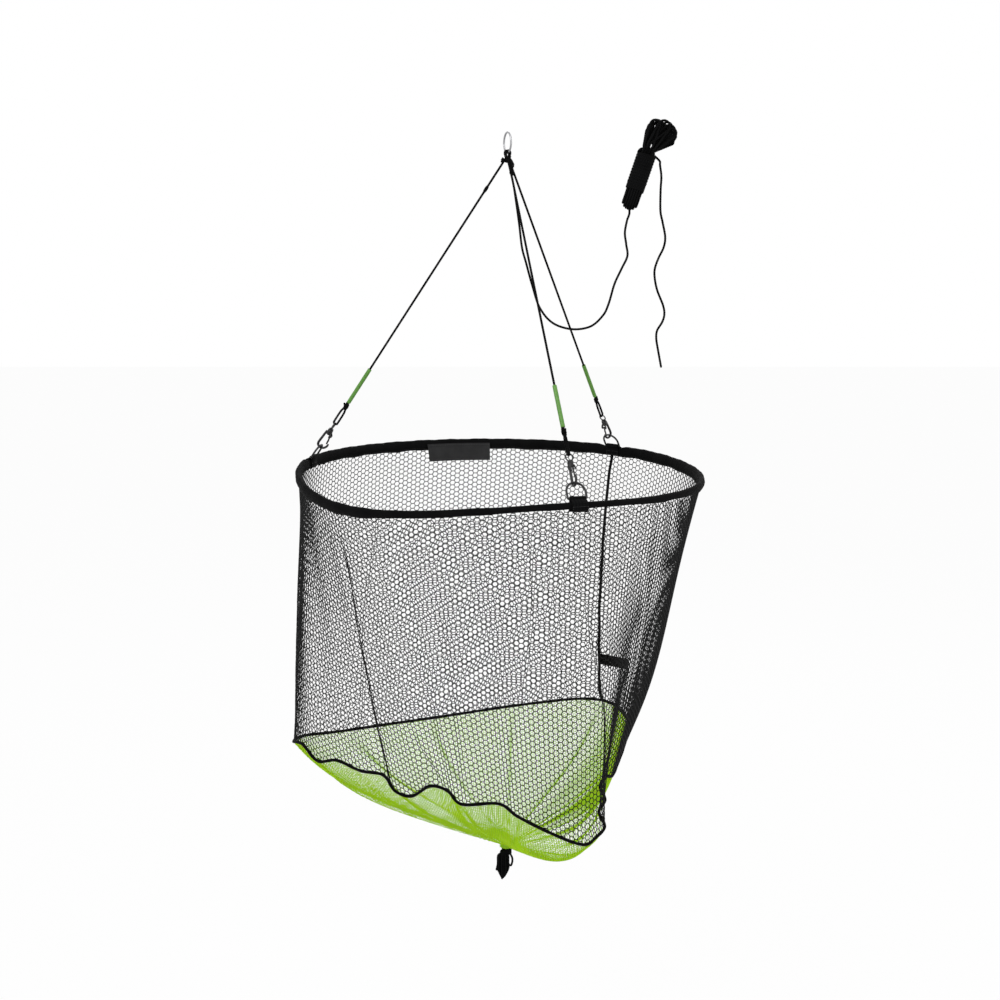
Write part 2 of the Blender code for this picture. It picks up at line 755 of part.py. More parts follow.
def bag_point(azimuth, share):
    """The bottom's middle surface, from the seam (0) to the neck (1)."""
    edge = seam_below(azimuth)
    point = edge.lerp(bag_centre, share)
    fall = 1 - (1 - share) ** BAG_CURVE
    off = (point - lobe_centre).xy.length
    lobe = BAG_LOBE_DEPTH * math.exp(-((off / BAG_LOBE_SPREAD) ** 2))
    lobe *= min(1, 4 * share) * min(1, 3 * (1 - share))
    point.z = edge.z + (bag_centre.z - edge.z) * fall - lobe
    return point


def bag_sheet(off):
    """Rings of the bottom from its edge, just inside the binding, to the neck."""
    rows = []
    for k in range(BAG_ROWS + 1):
        row = []
        for azimuth in RIM_AZIMUTHS:
            edge = seam_below(azimuth)
            reach = (bag_centre - edge).length
            start_way = bag_point(azimuth, BAG_START_SHARE) - edge
            first = clear_of_seam(azimuth, start_way) / reach * BAG_EDGE_ROOM
            last = 1 - NECK_RADIUS / reach
            share = first + (last - first) * (k / BAG_ROWS) ** BAG_ROW_EASE
            point = bag_point(azimuth, share)
            above = bag_point(azimuth, max(0, share - BAG_TEST_SHARE))
            below = bag_point(azimuth, min(1, share + BAG_TEST_SHARE))
            around = bag_point(azimuth + BAG_TEST_TURN, share) - bag_point(azimuth - BAG_TEST_TURN, share)
            normal = (below - above).cross(around).normalized()
            if normal.z > 0:
                normal = -normal
            row.append(floor_local @ (point + normal * off))
        rows.append(row)
    return rows


def neck_ring(radius, drop):
    return [floor_local @ (bag_centre + outward(a) * radius - UP * drop) for a in RIM_AZIMUTHS]


bag_outer = bag_sheet(NET_THICKNESS / 2)
bag_inner = bag_sheet(-NET_THICKNESS / 2)
bag_rings = [neck_ring(NECK_RADIUS * 0.6, -NET_THICKNESS)] + bag_inner[:0:-1] + [bag_inner[0]]
bag_rings += bag_outer[:-1] + [neck_ring(NECK_RADIUS, NET_THICKNESS), neck_ring(NECK_RADIUS, NECK_LENGTH)]
piece("net_bottom", skin(bag_rings), LIME_NET, floor)

# Cord that ties the neck shut, with a knot, a loop and a long end
tie_wrap_radius = NECK_RADIUS + GAP + TIE_CORD_RADIUS
tie_top = bag_centre - UP * (NET_THICKNESS + TIE_WRAP_DROP)
wrap = [tie_top + outward(math.tau * k / TIE_WRAP_STEPS) * tie_wrap_radius for k in range(TIE_WRAP_STEPS)]
wrap_front = tie_top - Vector((0, tie_wrap_radius, 0))
knot_at = wrap_front + Vector(TIE_KNOT_OFF)
loop_path = [knot_at + Vector(p) * MM for p in TIE_LOOP_POINTS]
end_path = [knot_at + Vector(p) * MM for p in TIE_END_POINTS]
tie = joined(
    tube(wrap, TIE_CORD_RADIUS, WIRE_SIDES, closed=True),
    ball(knot_at, TIE_KNOT, 8, 6),
    tube(smooth_curve(loop_path, TIE_LOOP_STEP, closed=True), TIE_CORD_RADIUS, WIRE_SIDES, closed=True),
    tube(smooth_curve(end_path, TIE_END_STEP), TIE_CORD_RADIUS, WIRE_SIDES),
    rod_between(wrap_front + Vector((TIE_KNOT_OFF[0] / 2, 0, 0)), knot_at, TIE_CORD_RADIUS * 1.2, WIRE_SIDES),
)
bmesh.ops.transform(tie, matrix=floor_local, verts=tie.verts)
piece("bottom_tie", tie, BLACK_CORD, floor)

# Side seam: a tape down the outside of the wall, and a label sewn in it
tape_facet = leg_facet(TAPE_LEG)
tape_place = 0.5 + TAPE_SHIFT / (HOOP_RADIUS * TAB_FACET)
tape_off = NET_THICKNESS / 2 + TAPE_ROOM + TAPE_THICKNESS / 2


def facet_point(along_share, off):
    """A point on the wall's facet that holds the tape, by its share of the wall's length."""
    points = [wall_point(a, along_share * wall_length(a), off) for a in tape_facet]
    return points[0].lerp(points[1], tape_place)


tape_middle = wall_length(LEG_AZIMUTH[TAPE_LEG]) / 2
across = (wall_point(tape_facet[0], tape_middle) - wall_point(tape_facet[1], tape_middle)).normalized()
tape_rings = []
tape_start = TAPE_TOP / wall_length(LEG_AZIMUTH[TAPE_LEG])
tape_shares = [tape_start + (TAPE_END_SHARE - tape_start) * k / TAPE_STEPS for k in range(TAPE_STEPS + 1)]
for share in tape_shares:
    inner = facet_point(share, tape_off - TAPE_THICKNESS / 2)
    outer = facet_point(share, tape_off + TAPE_THICKNESS / 2)
    side = across * TAPE_HALF_WIDTH
    tape_rings.append([net_local @ p for p in (inner - side, inner + side, outer + side, outer - side)])
piece("side_seam_tape", skin(tape_rings), BLACK_WEBBING, net, smooth=False)

label_off = tape_off + TAPE_THICKNESS / 2 + GAP + LABEL_THICKNESS / 2
label_at = facet_point(SIDE_LABEL_SHARE, label_off)
label_frame = frame_of(label_at, across, facet_point(SIDE_LABEL_SHARE - 0.05, label_off) - label_at)
label_bm = bmesh.new()
bmesh.ops.create_cube(label_bm, size=1)
bmesh.ops.transform(
    label_bm,
    matrix=Matrix.Translation((SIDE_LABEL_LENGTH / 2 - TAPE_HALF_WIDTH, 0, 0))
    @ Matrix.Diagonal((SIDE_LABEL_LENGTH, LABEL_THICKNESS, SIDE_LABEL_HEIGHT, 1)),
    verts=label_bm.verts,
)
label_carrier = empty("side_label_carrier", label_frame)
piece("side_label", label_bm, BLACK_WEBBING, label_carrier, smooth=False)

# Label on the inside of the rim's sleeve
rim_label_rings = []
for k in range(RIM_LABEL_STEPS + 1):
    azimuth = RIM_LABEL_FROM + (RIM_LABEL_TO - RIM_LABEL_FROM) * k / RIM_LABEL_STEPS
    centre = hoop_point(azimuth)
    side = rim_side(azimuth)
    tail = tail_direction(azimuth)
    near = -(sleeve_outer + LABEL_ROOM)
    far = near - LABEL_THICKNESS
    low = RIM_LABEL_TOP + RIM_LABEL_HEIGHT
    high = RIM_LABEL_TOP - RIM_LABEL_TUCK
    corners = ((near, high), (near, low), (far, low), (far, high))
    rim_label_rings.append([net_local @ (centre + side * s + tail * t) for s, t in corners])
piece("rim_label", skin(rim_label_rings), BLACK_WEBBING, net, smooth=False)


def arc_points(centre, radius, start, end, steps):
    made = []
    for k in range(steps + 1):
        angle = start + (end - start) * k / steps
        made.append((centre[0] + radius * math.cos(angle), centre[1] + radius * math.sin(angle)))
    return made


def tab_mesh(lean):
    """A webbing strap over the sleeve with an eye for the D-ring's bar. X out, Z up, from the rod.
    The eye and the stitched end above it lean in with the leg."""
    inner = sleeve_outer + TAB_ROOM
    outer = inner + TAB_PLY
    way = math.pi / 2 + lean
    eye = D_WIRE_RADIUS + GAP + TAB_PLY
    half = math.asin(eye / outer)
    ahead = (math.cos(way), math.sin(way))
    right = (ahead[1], -ahead[0])
    tip = TAB_PLY

    def up(side, distance):
        return (right[0] * side + ahead[0] * distance, right[1] * side + ahead[1] * distance)

    outline = [(outer, -TAB_SKIRT)]
    outline += arc_points((0, 0), outer, 0, way - half, 5)
    outline += [up(eye, D_BAR_AT + 0.0005), up(tip, TAB_TOP - 0.001), up(tip * 0.6, TAB_TOP)]
    outline += [up(-tip * 0.6, TAB_TOP), up(-tip, TAB_TOP - 0.001), up(-eye, D_BAR_AT + 0.0005)]
    outline += arc_points((0, 0), outer, way + half, math.pi, 5)
    outline += [(-outer, -TAB_SKIRT), (-inner, -TAB_SKIRT)]
    outline += arc_points((0, 0), inner, math.pi, 0, 8)
    outline += [(inner, -TAB_SKIRT)]
    body = extruded(outline, TAB_WIDTH / 2)
    centre = Vector((*up(0, D_BAR_AT), 0)).xzy
    reach = Vector((0, TAB_WIDTH, 0))
    return cut(body, rod_between(centre - reach, centre + reach, D_WIRE_RADIUS + GAP, 12))


def d_ring_path():
    """The D-ring's centre line in Y and Z, with its bar on the Y axis."""
    straight = D_HALF_WIDTH - D_CORNER
    crown_rise = D_HEIGHT - D_HALF_WIDTH
    path = [(-straight / 2, 0), (0, 0), (straight / 2, 0)]
    path += arc_points((straight, D_CORNER), D_CORNER, -math.pi / 2, 0, 3)
    path += arc_points((0, crown_rise), D_HALF_WIDTH, 0, math.pi, 12)
    path += arc_points((-straight, D_CORNER), D_CORNER, math.pi, 1.5 * math.pi, 3)
    return [Vector((0, y, z)) for y, z in path]


# Swivel snap, in millimetres: X towards the gate, Z up the leg from the collar's lower face
HOOK_LINE = (
    (-4.3, 3.0), (-4.8, -2.0), (-5.3, -9.0), (-5.9, -16.0), (-5.9, -20.5), (-4.2, -23.7),
    (-0.8, -24.9), (2.8, -24.4), (6.0, -22.2), (8.0, -18.8), (8.6, -15.6), (8.4, -13.4),
)
HOOK_STEP = 6.0 * MM
HOOK_NOSE_TAPER = (0.9, 0.6)
HOOK_FLOOR = 24.9 * MM
# The slot for the gate between the cheeks, as an outline in the same millimetres
SLOT_OUTLINE = ((2.7, -0.2), (9.0, -0.2), (9.0, -8.0), (1.0, -8.0), (1.0, -2.1))
D_CROWN_AT = D_BAR_AT + D_HEIGHT
COLLAR_AT = D_CROWN_AT - D_WIRE_RADIUS - D_SWING_ROOM - HOOK_WIRE_RADIUS + HOOK_FLOOR
PIN_AT = Vector((4.6, 0, -2.7)) * MM
GATE_TIP = Vector((5.9, 0, -15.6)) * MM


def snap_body_mesh():
    """The hook, its collar and the two cheeks that hold the gate's pin."""
    line = smooth_curve([Vector((x, 0, z)) * MM for x, z in HOOK_LINE], HOOK_STEP)
    radii = [HOOK_WIRE_RADIUS] * (len(line) - 2) + [HOOK_WIRE_RADIUS * share for share in HOOK_NOSE_TAPER]
    collar_top = UP * COLLAR_HEIGHT
    collar = rod_between(Vector(), collar_top, COLLAR_RADIUS, ROUND_SIDES)
    lug_back = PIN_AT.x - GATE_HUB_RADIUS
    lug = extruded(
        [
            (lug_back, LUG_TOP / 2),
            (lug_back, PIN_AT.z),
            *arc_points((PIN_AT.x, PIN_AT.z), LUG_RADIUS, math.pi, math.tau, 6)[1:],
            (PIN_AT.x + LUG_RADIUS, -LUG_SHOULDER),
            (COLLAR_RADIUS - LUG_SINK, LUG_TOP),
            (COLLAR_RADIUS - LUG_ROOT, LUG_TOP),
        ],
        LUG_HALF_WIDTH,
    )
    body = joined(collar, tube(line, radii, WIRE_SIDES), lug)
    body = cut(body, extruded([(x * MM, z * MM) for x, z in SLOT_OUTLINE], SLOT_HALF_WIDTH))
    across = Vector((0, 2 * LUG_HALF_WIDTH, 0))
    body = cut(body, rod_between(PIN_AT - across, PIN_AT + across, PIN_RADIUS + GAP, PIN_SIDES))
    past = UP * COLLAR_HEIGHT / 4
    return cut(body, rod_between(-past, collar_top + past, SHANK_RADIUS + GAP, PIN_SIDES))


def gate_mesh():
    """A flat lever with a hub round the pin. Its end closes on the inside of the hook's nose."""
    reach = GATE_TIP - PIN_AT
    length = math.hypot(reach.x, reach.z)
    lean = math.atan2(reach.x, -reach.z)
    half = GATE_HALF_WIDTH
    tip = half * 0.4
    start = math.asin(half / GATE_HUB_RADIUS)
    outline = arc_points((0, 0), GATE_HUB_RADIUS, -math.pi / 2 + start, 1.5 * math.pi - start, 12)
    outline += [(-half, half - length), (-tip, -length), (tip, -length), (half, half - length)]
    plate = extruded(outline, GATE_HALF_THICKNESS)
    across = Vector((0, 2 * LUG_HALF_WIDTH, 0))
    plate = cut(plate, rod_between(-across, across, PIN_RADIUS + GAP, PIN_SIDES))
    bmesh.ops.transform(plate, matrix=Matrix.Rotation(-lean, 4, "Y"), verts=plate.verts)
    return plate


def gate_spring_mesh():
    """A torsion spring round the pin, beside the gate's hub, with one leg along the gate."""
    radius = PIN_RADIUS + GAP + SPRING_WIRE_RADIUS + 0.0001
    first = GATE_HALF_THICKNESS + GAP + SPRING_WIRE_RADIUS
    path = [Vector((-radius, first, -0.0050)), Vector((-radius, first, -0.0025))]
    steps = 8
    for k in range(SPRING_TURNS * steps + 1):
        angle = math.pi + math.tau * k / steps
        drift = SPRING_PITCH * k / steps
        path.append(Vector((radius * math.cos(angle), first + drift, radius * math.sin(angle))))
    last = first + SPRING_PITCH * SPRING_TURNS
    path.append(Vector((-radius, last, 0.0012)))
    path.append(Vector((-radius, last, 0.0022)))
    return tube(path, SPRING_WIRE_RADIUS, 4)


def swivel_eye_mesh():
    """The ring that the cord is tied to, on a headed shank that turns in the collar."""
    base = COLLAR_HEIGHT + GAP
    top = base + EYE_BASE_HEIGHT
    half_height = EYE_HEIGHT / 2
    centre = top + half_height
    ring = []
    for k in range(16):
        angle = math.tau * k / 16
        ring.append(Vector((0, EYE_HALF_WIDTH * math.cos(angle), centre + half_height * math.sin(angle))))
    sink = EYE_BASE_HEIGHT / 4
    head_top = -UP * GAP
    return joined(
        rod_between(UP * base, UP * top, EYE_BASE_RADIUS, ROUND_SIDES),
        tube(ring, EYE_WIRE_RADIUS, WIRE_SIDES, closed=True),
        rod_between(head_top - UP * sink, UP * (base + sink), SHANK_RADIUS, PIN_SIDES),
        rod_between(head_top - UP * SHANK_HEAD_HEIGHT, head_top, SHANK_HEAD_RADIUS, PIN_SIDES),
    )


EYE_TOP = COLLAR_AT + COLLAR_HEIGHT + GAP + EYE_BASE_HEIGHT + EYE_HEIGHT - EYE_WIRE_RADIUS


def cord_loop_mesh():
    """The bridle's lower end: a loop through the eye, closed by a knot under the grip sleeve."""
    bight = EYE_TOP - GAP * 2 - CORD_RADIUS
    knot_low = KNOT_AT - KNOT_LENGTH * 0.5
    turn = LOOP_HALF_WIDTH
    splay = knot_low - LOOP_SPLAY
    path = [Vector((turn * 0.5, 0, knot_low)), Vector((turn * 0.95, 0, splay))]
    for angle in [math.pi * k / 6 for k in range(7)]:
        path.append(Vector((turn * math.cos(angle), 0, bight + turn * (1 - math.sin(angle)))))
    path += [Vector((-turn * 0.95, 0, splay)), Vector((-turn * 0.5, 0, knot_low))]
    line = smooth_curve(path, LOOP_STEP)
    knot_middle = UP * KNOT_AT
    knot = ball(knot_middle, (KNOT_RADIUS, KNOT_RADIUS * 0.85, KNOT_LENGTH), 8, 5)
    stub_start = knot_middle + Vector((KNOT_RADIUS / 4, 0, 0))
    stub = rod_between(stub_start, knot_middle + Vector(KNOT_STUB), CORD_RADIUS, WIRE_SIDES)
    shank = rod_between(knot_middle, UP * (GRIP_BOTTOM + CORD_IN_GRIP), CORD_RADIUS, CORD_SIDES)
    return joined(knot, tube(line, CORD_RADIUS, WIRE_SIDES), stub, shank)


def grip_mesh():
    """A length of tubing over the cord."""
    low = UP * GRIP_BOTTOM
    high = UP * (GRIP_BOTTOM + GRIP_LENGTH)
    past = UP * GRIP_RADIUS
    body = rod_between(low, high, GRIP_RADIUS, ROUND_SIDES)
    return cut(body, rod_between(low - past, high + past, GRIP_BORE, ROUND_SIDES))


# The three legs. The gate faces inwards on the left and rear legs, and outwards in front.
GATE_FACES = {"left": -1, "rear": -1, "front": 1}
for leg in LEG_ORDER:
    line = LEG_FRAMES[leg]
    half_turn = Matrix.Rotation(0 if GATE_FACES[leg] > 0 else math.pi, 4, "Z")
    top = line @ Vector((0, 0, LEG_LENGTHS[leg] - LEG_STUBS[leg] - GAP))
    grip_top = line @ Vector((0, 0, GRIP_BOTTOM + GRIP_LENGTH - CORD_IN_GRIP))
    run = [top.lerp(grip_top, k / BRIDLE_STEPS) for k in range(BRIDLE_STEPS + 1)]
    cord(leg + "_bridle_cord", run, BLACK_CORD, net)

    swivel = empty(leg + "_swivel", line)
    collar_place = Matrix.Translation((0, 0, COLLAR_AT))
    piece(leg + "_grip_sleeve", grip_mesh(), GREEN_TUBE, swivel)
    piece(leg + "_cord_loop", cord_loop_mesh(), BLACK_CORD, swivel)
    piece(leg + "_swivel_eye", swivel_eye_mesh(), BLACK_METAL, swivel, collar_place)

    snap_place = line @ half_turn @ collar_place
    piece(leg + "_snap_body", snap_body_mesh(), BLACK_METAL, net, net_local @ snap_place)
    pin_place = snap_place @ Matrix.Translation(PIN_AT)
    reach = Vector((0, LUG_HALF_WIDTH - GAP / 3, 0))
    pin = rod_between(-reach, reach, PIN_RADIUS, PIN_SIDES)
    piece(leg + "_gate_pin", pin, STEEL, net, net_local @ pin_place)
    piece(leg + "_gate_spring", gate_spring_mesh(), STEEL, net, net_local @ pin_place)
    gate = empty(leg + "_gate", pin_place)
    piece(leg + "_snap_gate", gate_mesh(), BLACK_METAL, gate)

    saddle = SADDLES[leg]
    way = saddle.to_3x3().transposed() @ (APEX - saddle.translation)
    lean = math.atan2(-way.x, way.z)
    bar_frame = saddle @ Matrix.Rotation(-lean, 4, "Y") @ Matrix.Translation((0, 0, D_BAR_AT))
    bar = empty(leg + "_bar", bar_frame)
    piece(leg + "_d_ring", tube(d_ring_path(), D_WIRE_RADIUS, WIRE_SIDES, closed=True), BLACK_METAL, bar)
    piece(leg + "_webbing_tab", tab_mesh(lean), BLACK_WEBBING, net, net_local @ saddle, smooth=False)


# Hauling rope
def rope_path(points):
    return smooth_curve([Vector(p) * MM for p in points], ROPE_STEP)


hank_up = Vector((math.sin(HANK_LEAN), 0, math.cos(HANK_LEAN)))
hank_frame = frame_of(Vector(HANK_FOOT), Vector((1, 0, 0)), hank_up)
hank = empty("hank", hank_frame)


def core_profile():
    """The bundle's radius at each height: a round foot of bare strands, then the wrapped part."""
    profile = [(BULB_RISE * (1 - math.cos(a)), BULB_RADIUS * math.sin(a)) for a in (0.4, 0.8, 1.2)]
    profile += [(BULB_RISE, BULB_RADIUS), (BULB_HEIGHT, BULB_RADIUS)]
    profile += [(BULB_HEIGHT + BULB_SHOULDER, CORE_RADIUS), (CORE_HEIGHT, CORE_RADIUS)]
    return profile


core_rings = []
for height, radius in core_profile():
    ring = []
    for k in range(3 * CORE_FLUTES):
        angle = math.tau * k / (3 * CORE_FLUTES)
        bare = 1 if height <= BULB_HEIGHT else 0
        depth = bare * FLUTE_DEPTH * (math.cos(CORE_FLUTES * angle) - 1) * radius / BULB_RADIUS
        ring.append(Vector((math.cos(angle), math.sin(angle), 0)) * (radius + depth) + UP * height)
    core_rings.append(ring)
piece("hank_core", skin(core_rings), BLACK_CORD, hank)

wrap_radius = CORE_RADIUS + COIL_GAP + CORD_RADIUS
beside_bulb = BULB_RADIUS + COIL_GAP + CORD_RADIUS
fan_depth = FAN_DEPTH_STEP * FAN_LOOPS / 2
fan_foot = CORE_HEIGHT + COIL_GAP + CORD_RADIUS


def on_core(angle, radius, height):
    return Vector((radius * math.cos(angle), radius * math.sin(angle), height))


def eased(share):
    return share * share * (3 - 2 * share)


def fan_turn(k, share):
    """A point of one of the hank's open loops: out on the right, over the top, back on the left."""
    through = (k + share) / FAN_LOOPS
    lean = FAN_FIRST_LEAN + (FAN_LAST_LEAN - FAN_FIRST_LEAN) * through
    foot_arc = math.pi * FAN_FOOT_RADIUS
    tip_arc = math.pi * FAN_TIP_RADIUS
    runs = (foot_arc / 2, FAN_REACH, tip_arc, FAN_REACH, foot_arc / 2)
    run = share * sum(runs)
    stage = 0
    while stage < len(runs) - 1 and run > runs[stage]:
        run -= runs[stage]
        stage += 1
    part_done = run / runs[stage]
    if stage == 0:
        angle = -math.pi / 2 + part_done * math.pi / 2
        x, z = FAN_FOOT_RADIUS * math.cos(angle), FAN_FOOT_RADIUS * math.sin(angle)
    elif stage == 1:
        x, z = FAN_FOOT_RADIUS + (FAN_TIP_RADIUS - FAN_FOOT_RADIUS) * part_done, FAN_REACH * part_done
    elif stage == 2:
        angle = part_done * math.pi
        x, z = FAN_TIP_RADIUS * math.cos(angle), FAN_REACH + FAN_TIP_RADIUS * math.sin(angle)
    elif stage == 3:
        x, z = -(FAN_TIP_RADIUS + (FAN_FOOT_RADIUS - FAN_TIP_RADIUS) * part_done), FAN_REACH * (1 - part_done)
    else:
        angle = math.pi + part_done * math.pi / 2
        x, z = FAN_FOOT_RADIUS * math.cos(angle), FAN_FOOT_RADIUS * math.sin(angle)
    side = FAN_FIRST_ACROSS + (FAN_LAST_ACROSS - FAN_FIRST_ACROSS) * through
    return Vector((
        side + x * math.cos(lean) + z * math.sin(lean),
        fan_depth * (2 * through - 1),
        fan_foot + FAN_FOOT_RADIUS + z * math.cos(lean) - x * math.sin(lean),
    ))


def lead_in():
    """From below the bundle's foot, up behind its round end and on to the first wrap."""
    start = Vector((LEAD_IN_ACROSS, LEAD_IN_DEPTH, -LEAD_IN_DROP))
    path = [start, start + UP * LEAD_IN_STEP, start + UP * LEAD_IN_STEP * 2]
    for across, depth, height in LEAD_IN_BEND:
        path.append(Vector((LEAD_IN_ACROSS * across, beside_bulb * depth, height * MM)))
    path = smooth_curve(path, HANK_STEP)
    low = path[-1].z
    for k in range(1, LEAD_IN_STEPS):
        share = k / LEAD_IN_STEPS
        height = low + (WRAP_START - low) * (share + LEAD_IN_HASTE * math.sin(math.pi * share))
        past_bulb = max(0.0, min(1.0, (height - BULB_HEIGHT) / (WRAP_START - CORD_RADIUS - BULB_HEIGHT)))
        radius = beside_bulb + (wrap_radius - beside_bulb) * eased(past_bulb)
        path.append(on_core(math.pi / 2 * (1 + share * share), radius, height))
    return path


def hank_path():
    """One unbroken tube: in at the foot, round the core, then through the open loops to the tail."""
    path = lead_in()
    for k in range(WRAP_TURNS * POINTS_A_LOOP + 1):
        angle = math.pi + math.tau * k / POINTS_A_LOOP
        path.append(on_core(angle, wrap_radius, WRAP_START + WRAP_PITCH * k / POINTS_A_LOOP))
    top = WRAP_START + WRAP_PITCH * WRAP_TURNS
    steps = POINTS_A_LOOP // 4
    for k in range(1, steps):
        share = k / steps
        radius = wrap_radius + (fan_depth - wrap_radius) * eased(share)
        side = FAN_FIRST_ACROSS * eased(share)
        height = top + (fan_foot - top) * (2 * share - share * share)
        path.append(on_core(math.pi * (1 + share / 2), radius, height) + Vector((side, 0, 0)))
    for k in range(FAN_LOOPS):
        path += [fan_turn(k, i / POINTS_A_LOOP) for i in range(POINTS_A_LOOP)]
    tail_start = hank_frame.inverted() @ (Vector(TAIL_POINTS[0]) * MM)
    before_tail = hank_frame.inverted() @ (Vector(TAIL_POINTS[1]) * MM)
    way = (tail_start - before_tail).normalized()
    out = [path[-2], path[-1], fan_turn(FAN_LOOPS - 1, 1)]
    out.append(tail_start + way * TAIL_BEND - UP * TAIL_DIP)
    out += [tail_start + way * (2 * CORD_RADIUS + GAP), tail_start + way * GAP]
    path += smooth_curve(out, HANK_STEP)[2:]
    return path


def least_gap(path):
    """The smallest clear distance between parts of the tube that are not next to each other."""
    apart = 5 * CORD_RADIUS
    lengths = [0.0]
    for a, b in zip(path, path[1:]):
        lengths.append(lengths[-1] + (b - a).length)
    least = math.inf
    for i, one in enumerate(path):
        for j in range(i + 1, len(path)):
            if lengths[j] - lengths[i] > apart:
                least = min(least, (path[j] - one).length)
    return least - 2 * CORD_RADIUS


coil = hank_path()
print(f"rope hank: least gap to itself {least_gap(coil) * 1000:.2f} mm")
coil_data = bpy.data.curves.new("rope_hank", "CURVE")
coil_data.dimensions = "3D"
coil_data.bevel_depth = CORD_RADIUS
coil_data.bevel_resolution = 1
coil_data.use_fill_caps = True
coil_spline = coil_data.splines.new("POLY")
coil_spline.points.add(len(coil) - 1)
for point, position in zip(coil_spline.points, coil):
    point.co = (*position, 1)
piece("rope_hank", coil_data, BLACK_CORD, hank)

hank_entry = hank_frame @ coil[0]
entry_way = (hank_frame @ coil[1] - hank_entry).normalized()
lead_line = [Vector(p) * MM for p in LEAD_POINTS]
lead_line[0] = lead_start + (lead_line[1] - lead_start).normalized() * GAP
lead_line += [hank_entry - entry_way * (0.0055 + GAP), hank_entry - entry_way * GAP]
cord("rope_lead", smooth_curve(lead_line, ROPE_STEP), BLACK_CORD, net, 1)
cord("rope_tail", rope_path(TAIL_POINTS), BLACK_CORD, net, 1)
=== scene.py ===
import bisect
import math

import bmesh
import bpy
from mathutils import Matrix, Vector


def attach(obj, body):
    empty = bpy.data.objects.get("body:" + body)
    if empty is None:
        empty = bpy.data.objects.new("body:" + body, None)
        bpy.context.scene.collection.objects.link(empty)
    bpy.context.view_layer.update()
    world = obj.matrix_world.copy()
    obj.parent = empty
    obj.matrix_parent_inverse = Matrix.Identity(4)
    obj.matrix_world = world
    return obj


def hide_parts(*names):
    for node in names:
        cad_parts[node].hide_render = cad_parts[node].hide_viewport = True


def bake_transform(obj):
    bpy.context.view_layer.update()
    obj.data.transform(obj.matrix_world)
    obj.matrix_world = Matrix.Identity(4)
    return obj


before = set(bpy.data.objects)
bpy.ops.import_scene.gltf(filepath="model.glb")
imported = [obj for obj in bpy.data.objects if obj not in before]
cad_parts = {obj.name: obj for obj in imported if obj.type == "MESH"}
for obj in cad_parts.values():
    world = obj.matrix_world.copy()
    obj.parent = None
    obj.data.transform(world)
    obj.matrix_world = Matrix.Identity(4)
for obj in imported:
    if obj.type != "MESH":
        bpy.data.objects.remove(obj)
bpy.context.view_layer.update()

# Camera, lamps and floor
# The net hangs in front of plain white, lit softly from all sides. The floor is pale and lies well
# below the net. What the camera sees of floor and sky is white, also in the gloss of the metal.
CAMERA_AT = (-0.0107, -2.0937, -0.1518)
CAMERA_TURN = math.radians(79.77)
CAMERA_LENS = 51.516
LAMP_SIZE = 2.4
LAMPS_AIM = Vector((0, 0, -0.6))
FLOOR_DEPTH = -1.62
FLOOR_SIZE = 30.0


def linked(name, data):
    """An object for the data, at the origin."""
    made = bpy.data.objects.new(name, data)
    bpy.context.scene.collection.objects.link(made)
    return made


def node(tree, kind, **settings):
    """A shader node of a kind, with its settings."""
    made = tree.nodes.new("ShaderNode" + kind)
    for key, value in settings.items():
        setattr(made, key, value)
    return made


def math_node(tree, operation, *values):
    """A Math node between values or sockets."""
    made = node(tree, "Math", operation=operation)
    for socket, value in zip(made.inputs, values):
        if isinstance(value, (int, float)):
            socket.default_value = value
        else:
            tree.links.new(value, socket)
    return made.outputs[0]


def backdrop_share(tree, light, white):
    """A value for lit surfaces, and another for what is seen, mirrored or looked at through a gap."""
    rays = node(tree, "LightPath").outputs
    seen = math_node(tree, "MAXIMUM", rays["Is Camera Ray"], rays["Is Glossy Ray"])
    seen = math_node(tree, "MAXIMUM", seen, rays["Is Transmission Ray"])
    return math_node(tree, "MULTIPLY_ADD", seen, white - light, light)


camera_data = bpy.data.cameras.new("camera")
camera_data.lens = CAMERA_LENS
camera_data.sensor_width = 36
camera = linked("camera", camera_data)
camera.location = CAMERA_AT
camera.rotation_euler = (CAMERA_TURN, 0, 0)
bpy.context.scene.camera = camera
bpy.context.scene.view_settings.view_transform = "Standard"

world = bpy.data.worlds.new("studio")
world.use_nodes = True
bpy.context.scene.world = world
sky = world.node_tree.nodes["Background"]
sky.inputs["Color"].default_value = (1, 1, 1, 1)
world.node_tree.links.new(backdrop_share(world.node_tree, 0.62, 1.0), sky.inputs["Strength"])

for lamp_name, place, power in (
    ("key_lamp", (-1.6, -2.4, 1.9), 62),
    ("fill_lamp", (2.4, -1.4, 0.6), 22),
    ("back_lamp", (0.6, 2.6, 1.4), 26),
):
    lamp_data = bpy.data.lights.new(lamp_name, "AREA")
    lamp_data.size = LAMP_SIZE
    lamp_data.energy = power
    lamp = linked(lamp_name, lamp_data)
    lamp.location = place
    lamp.rotation_euler = (LAMPS_AIM - Vector(place)).to_track_quat("-Z", "Y").to_euler()

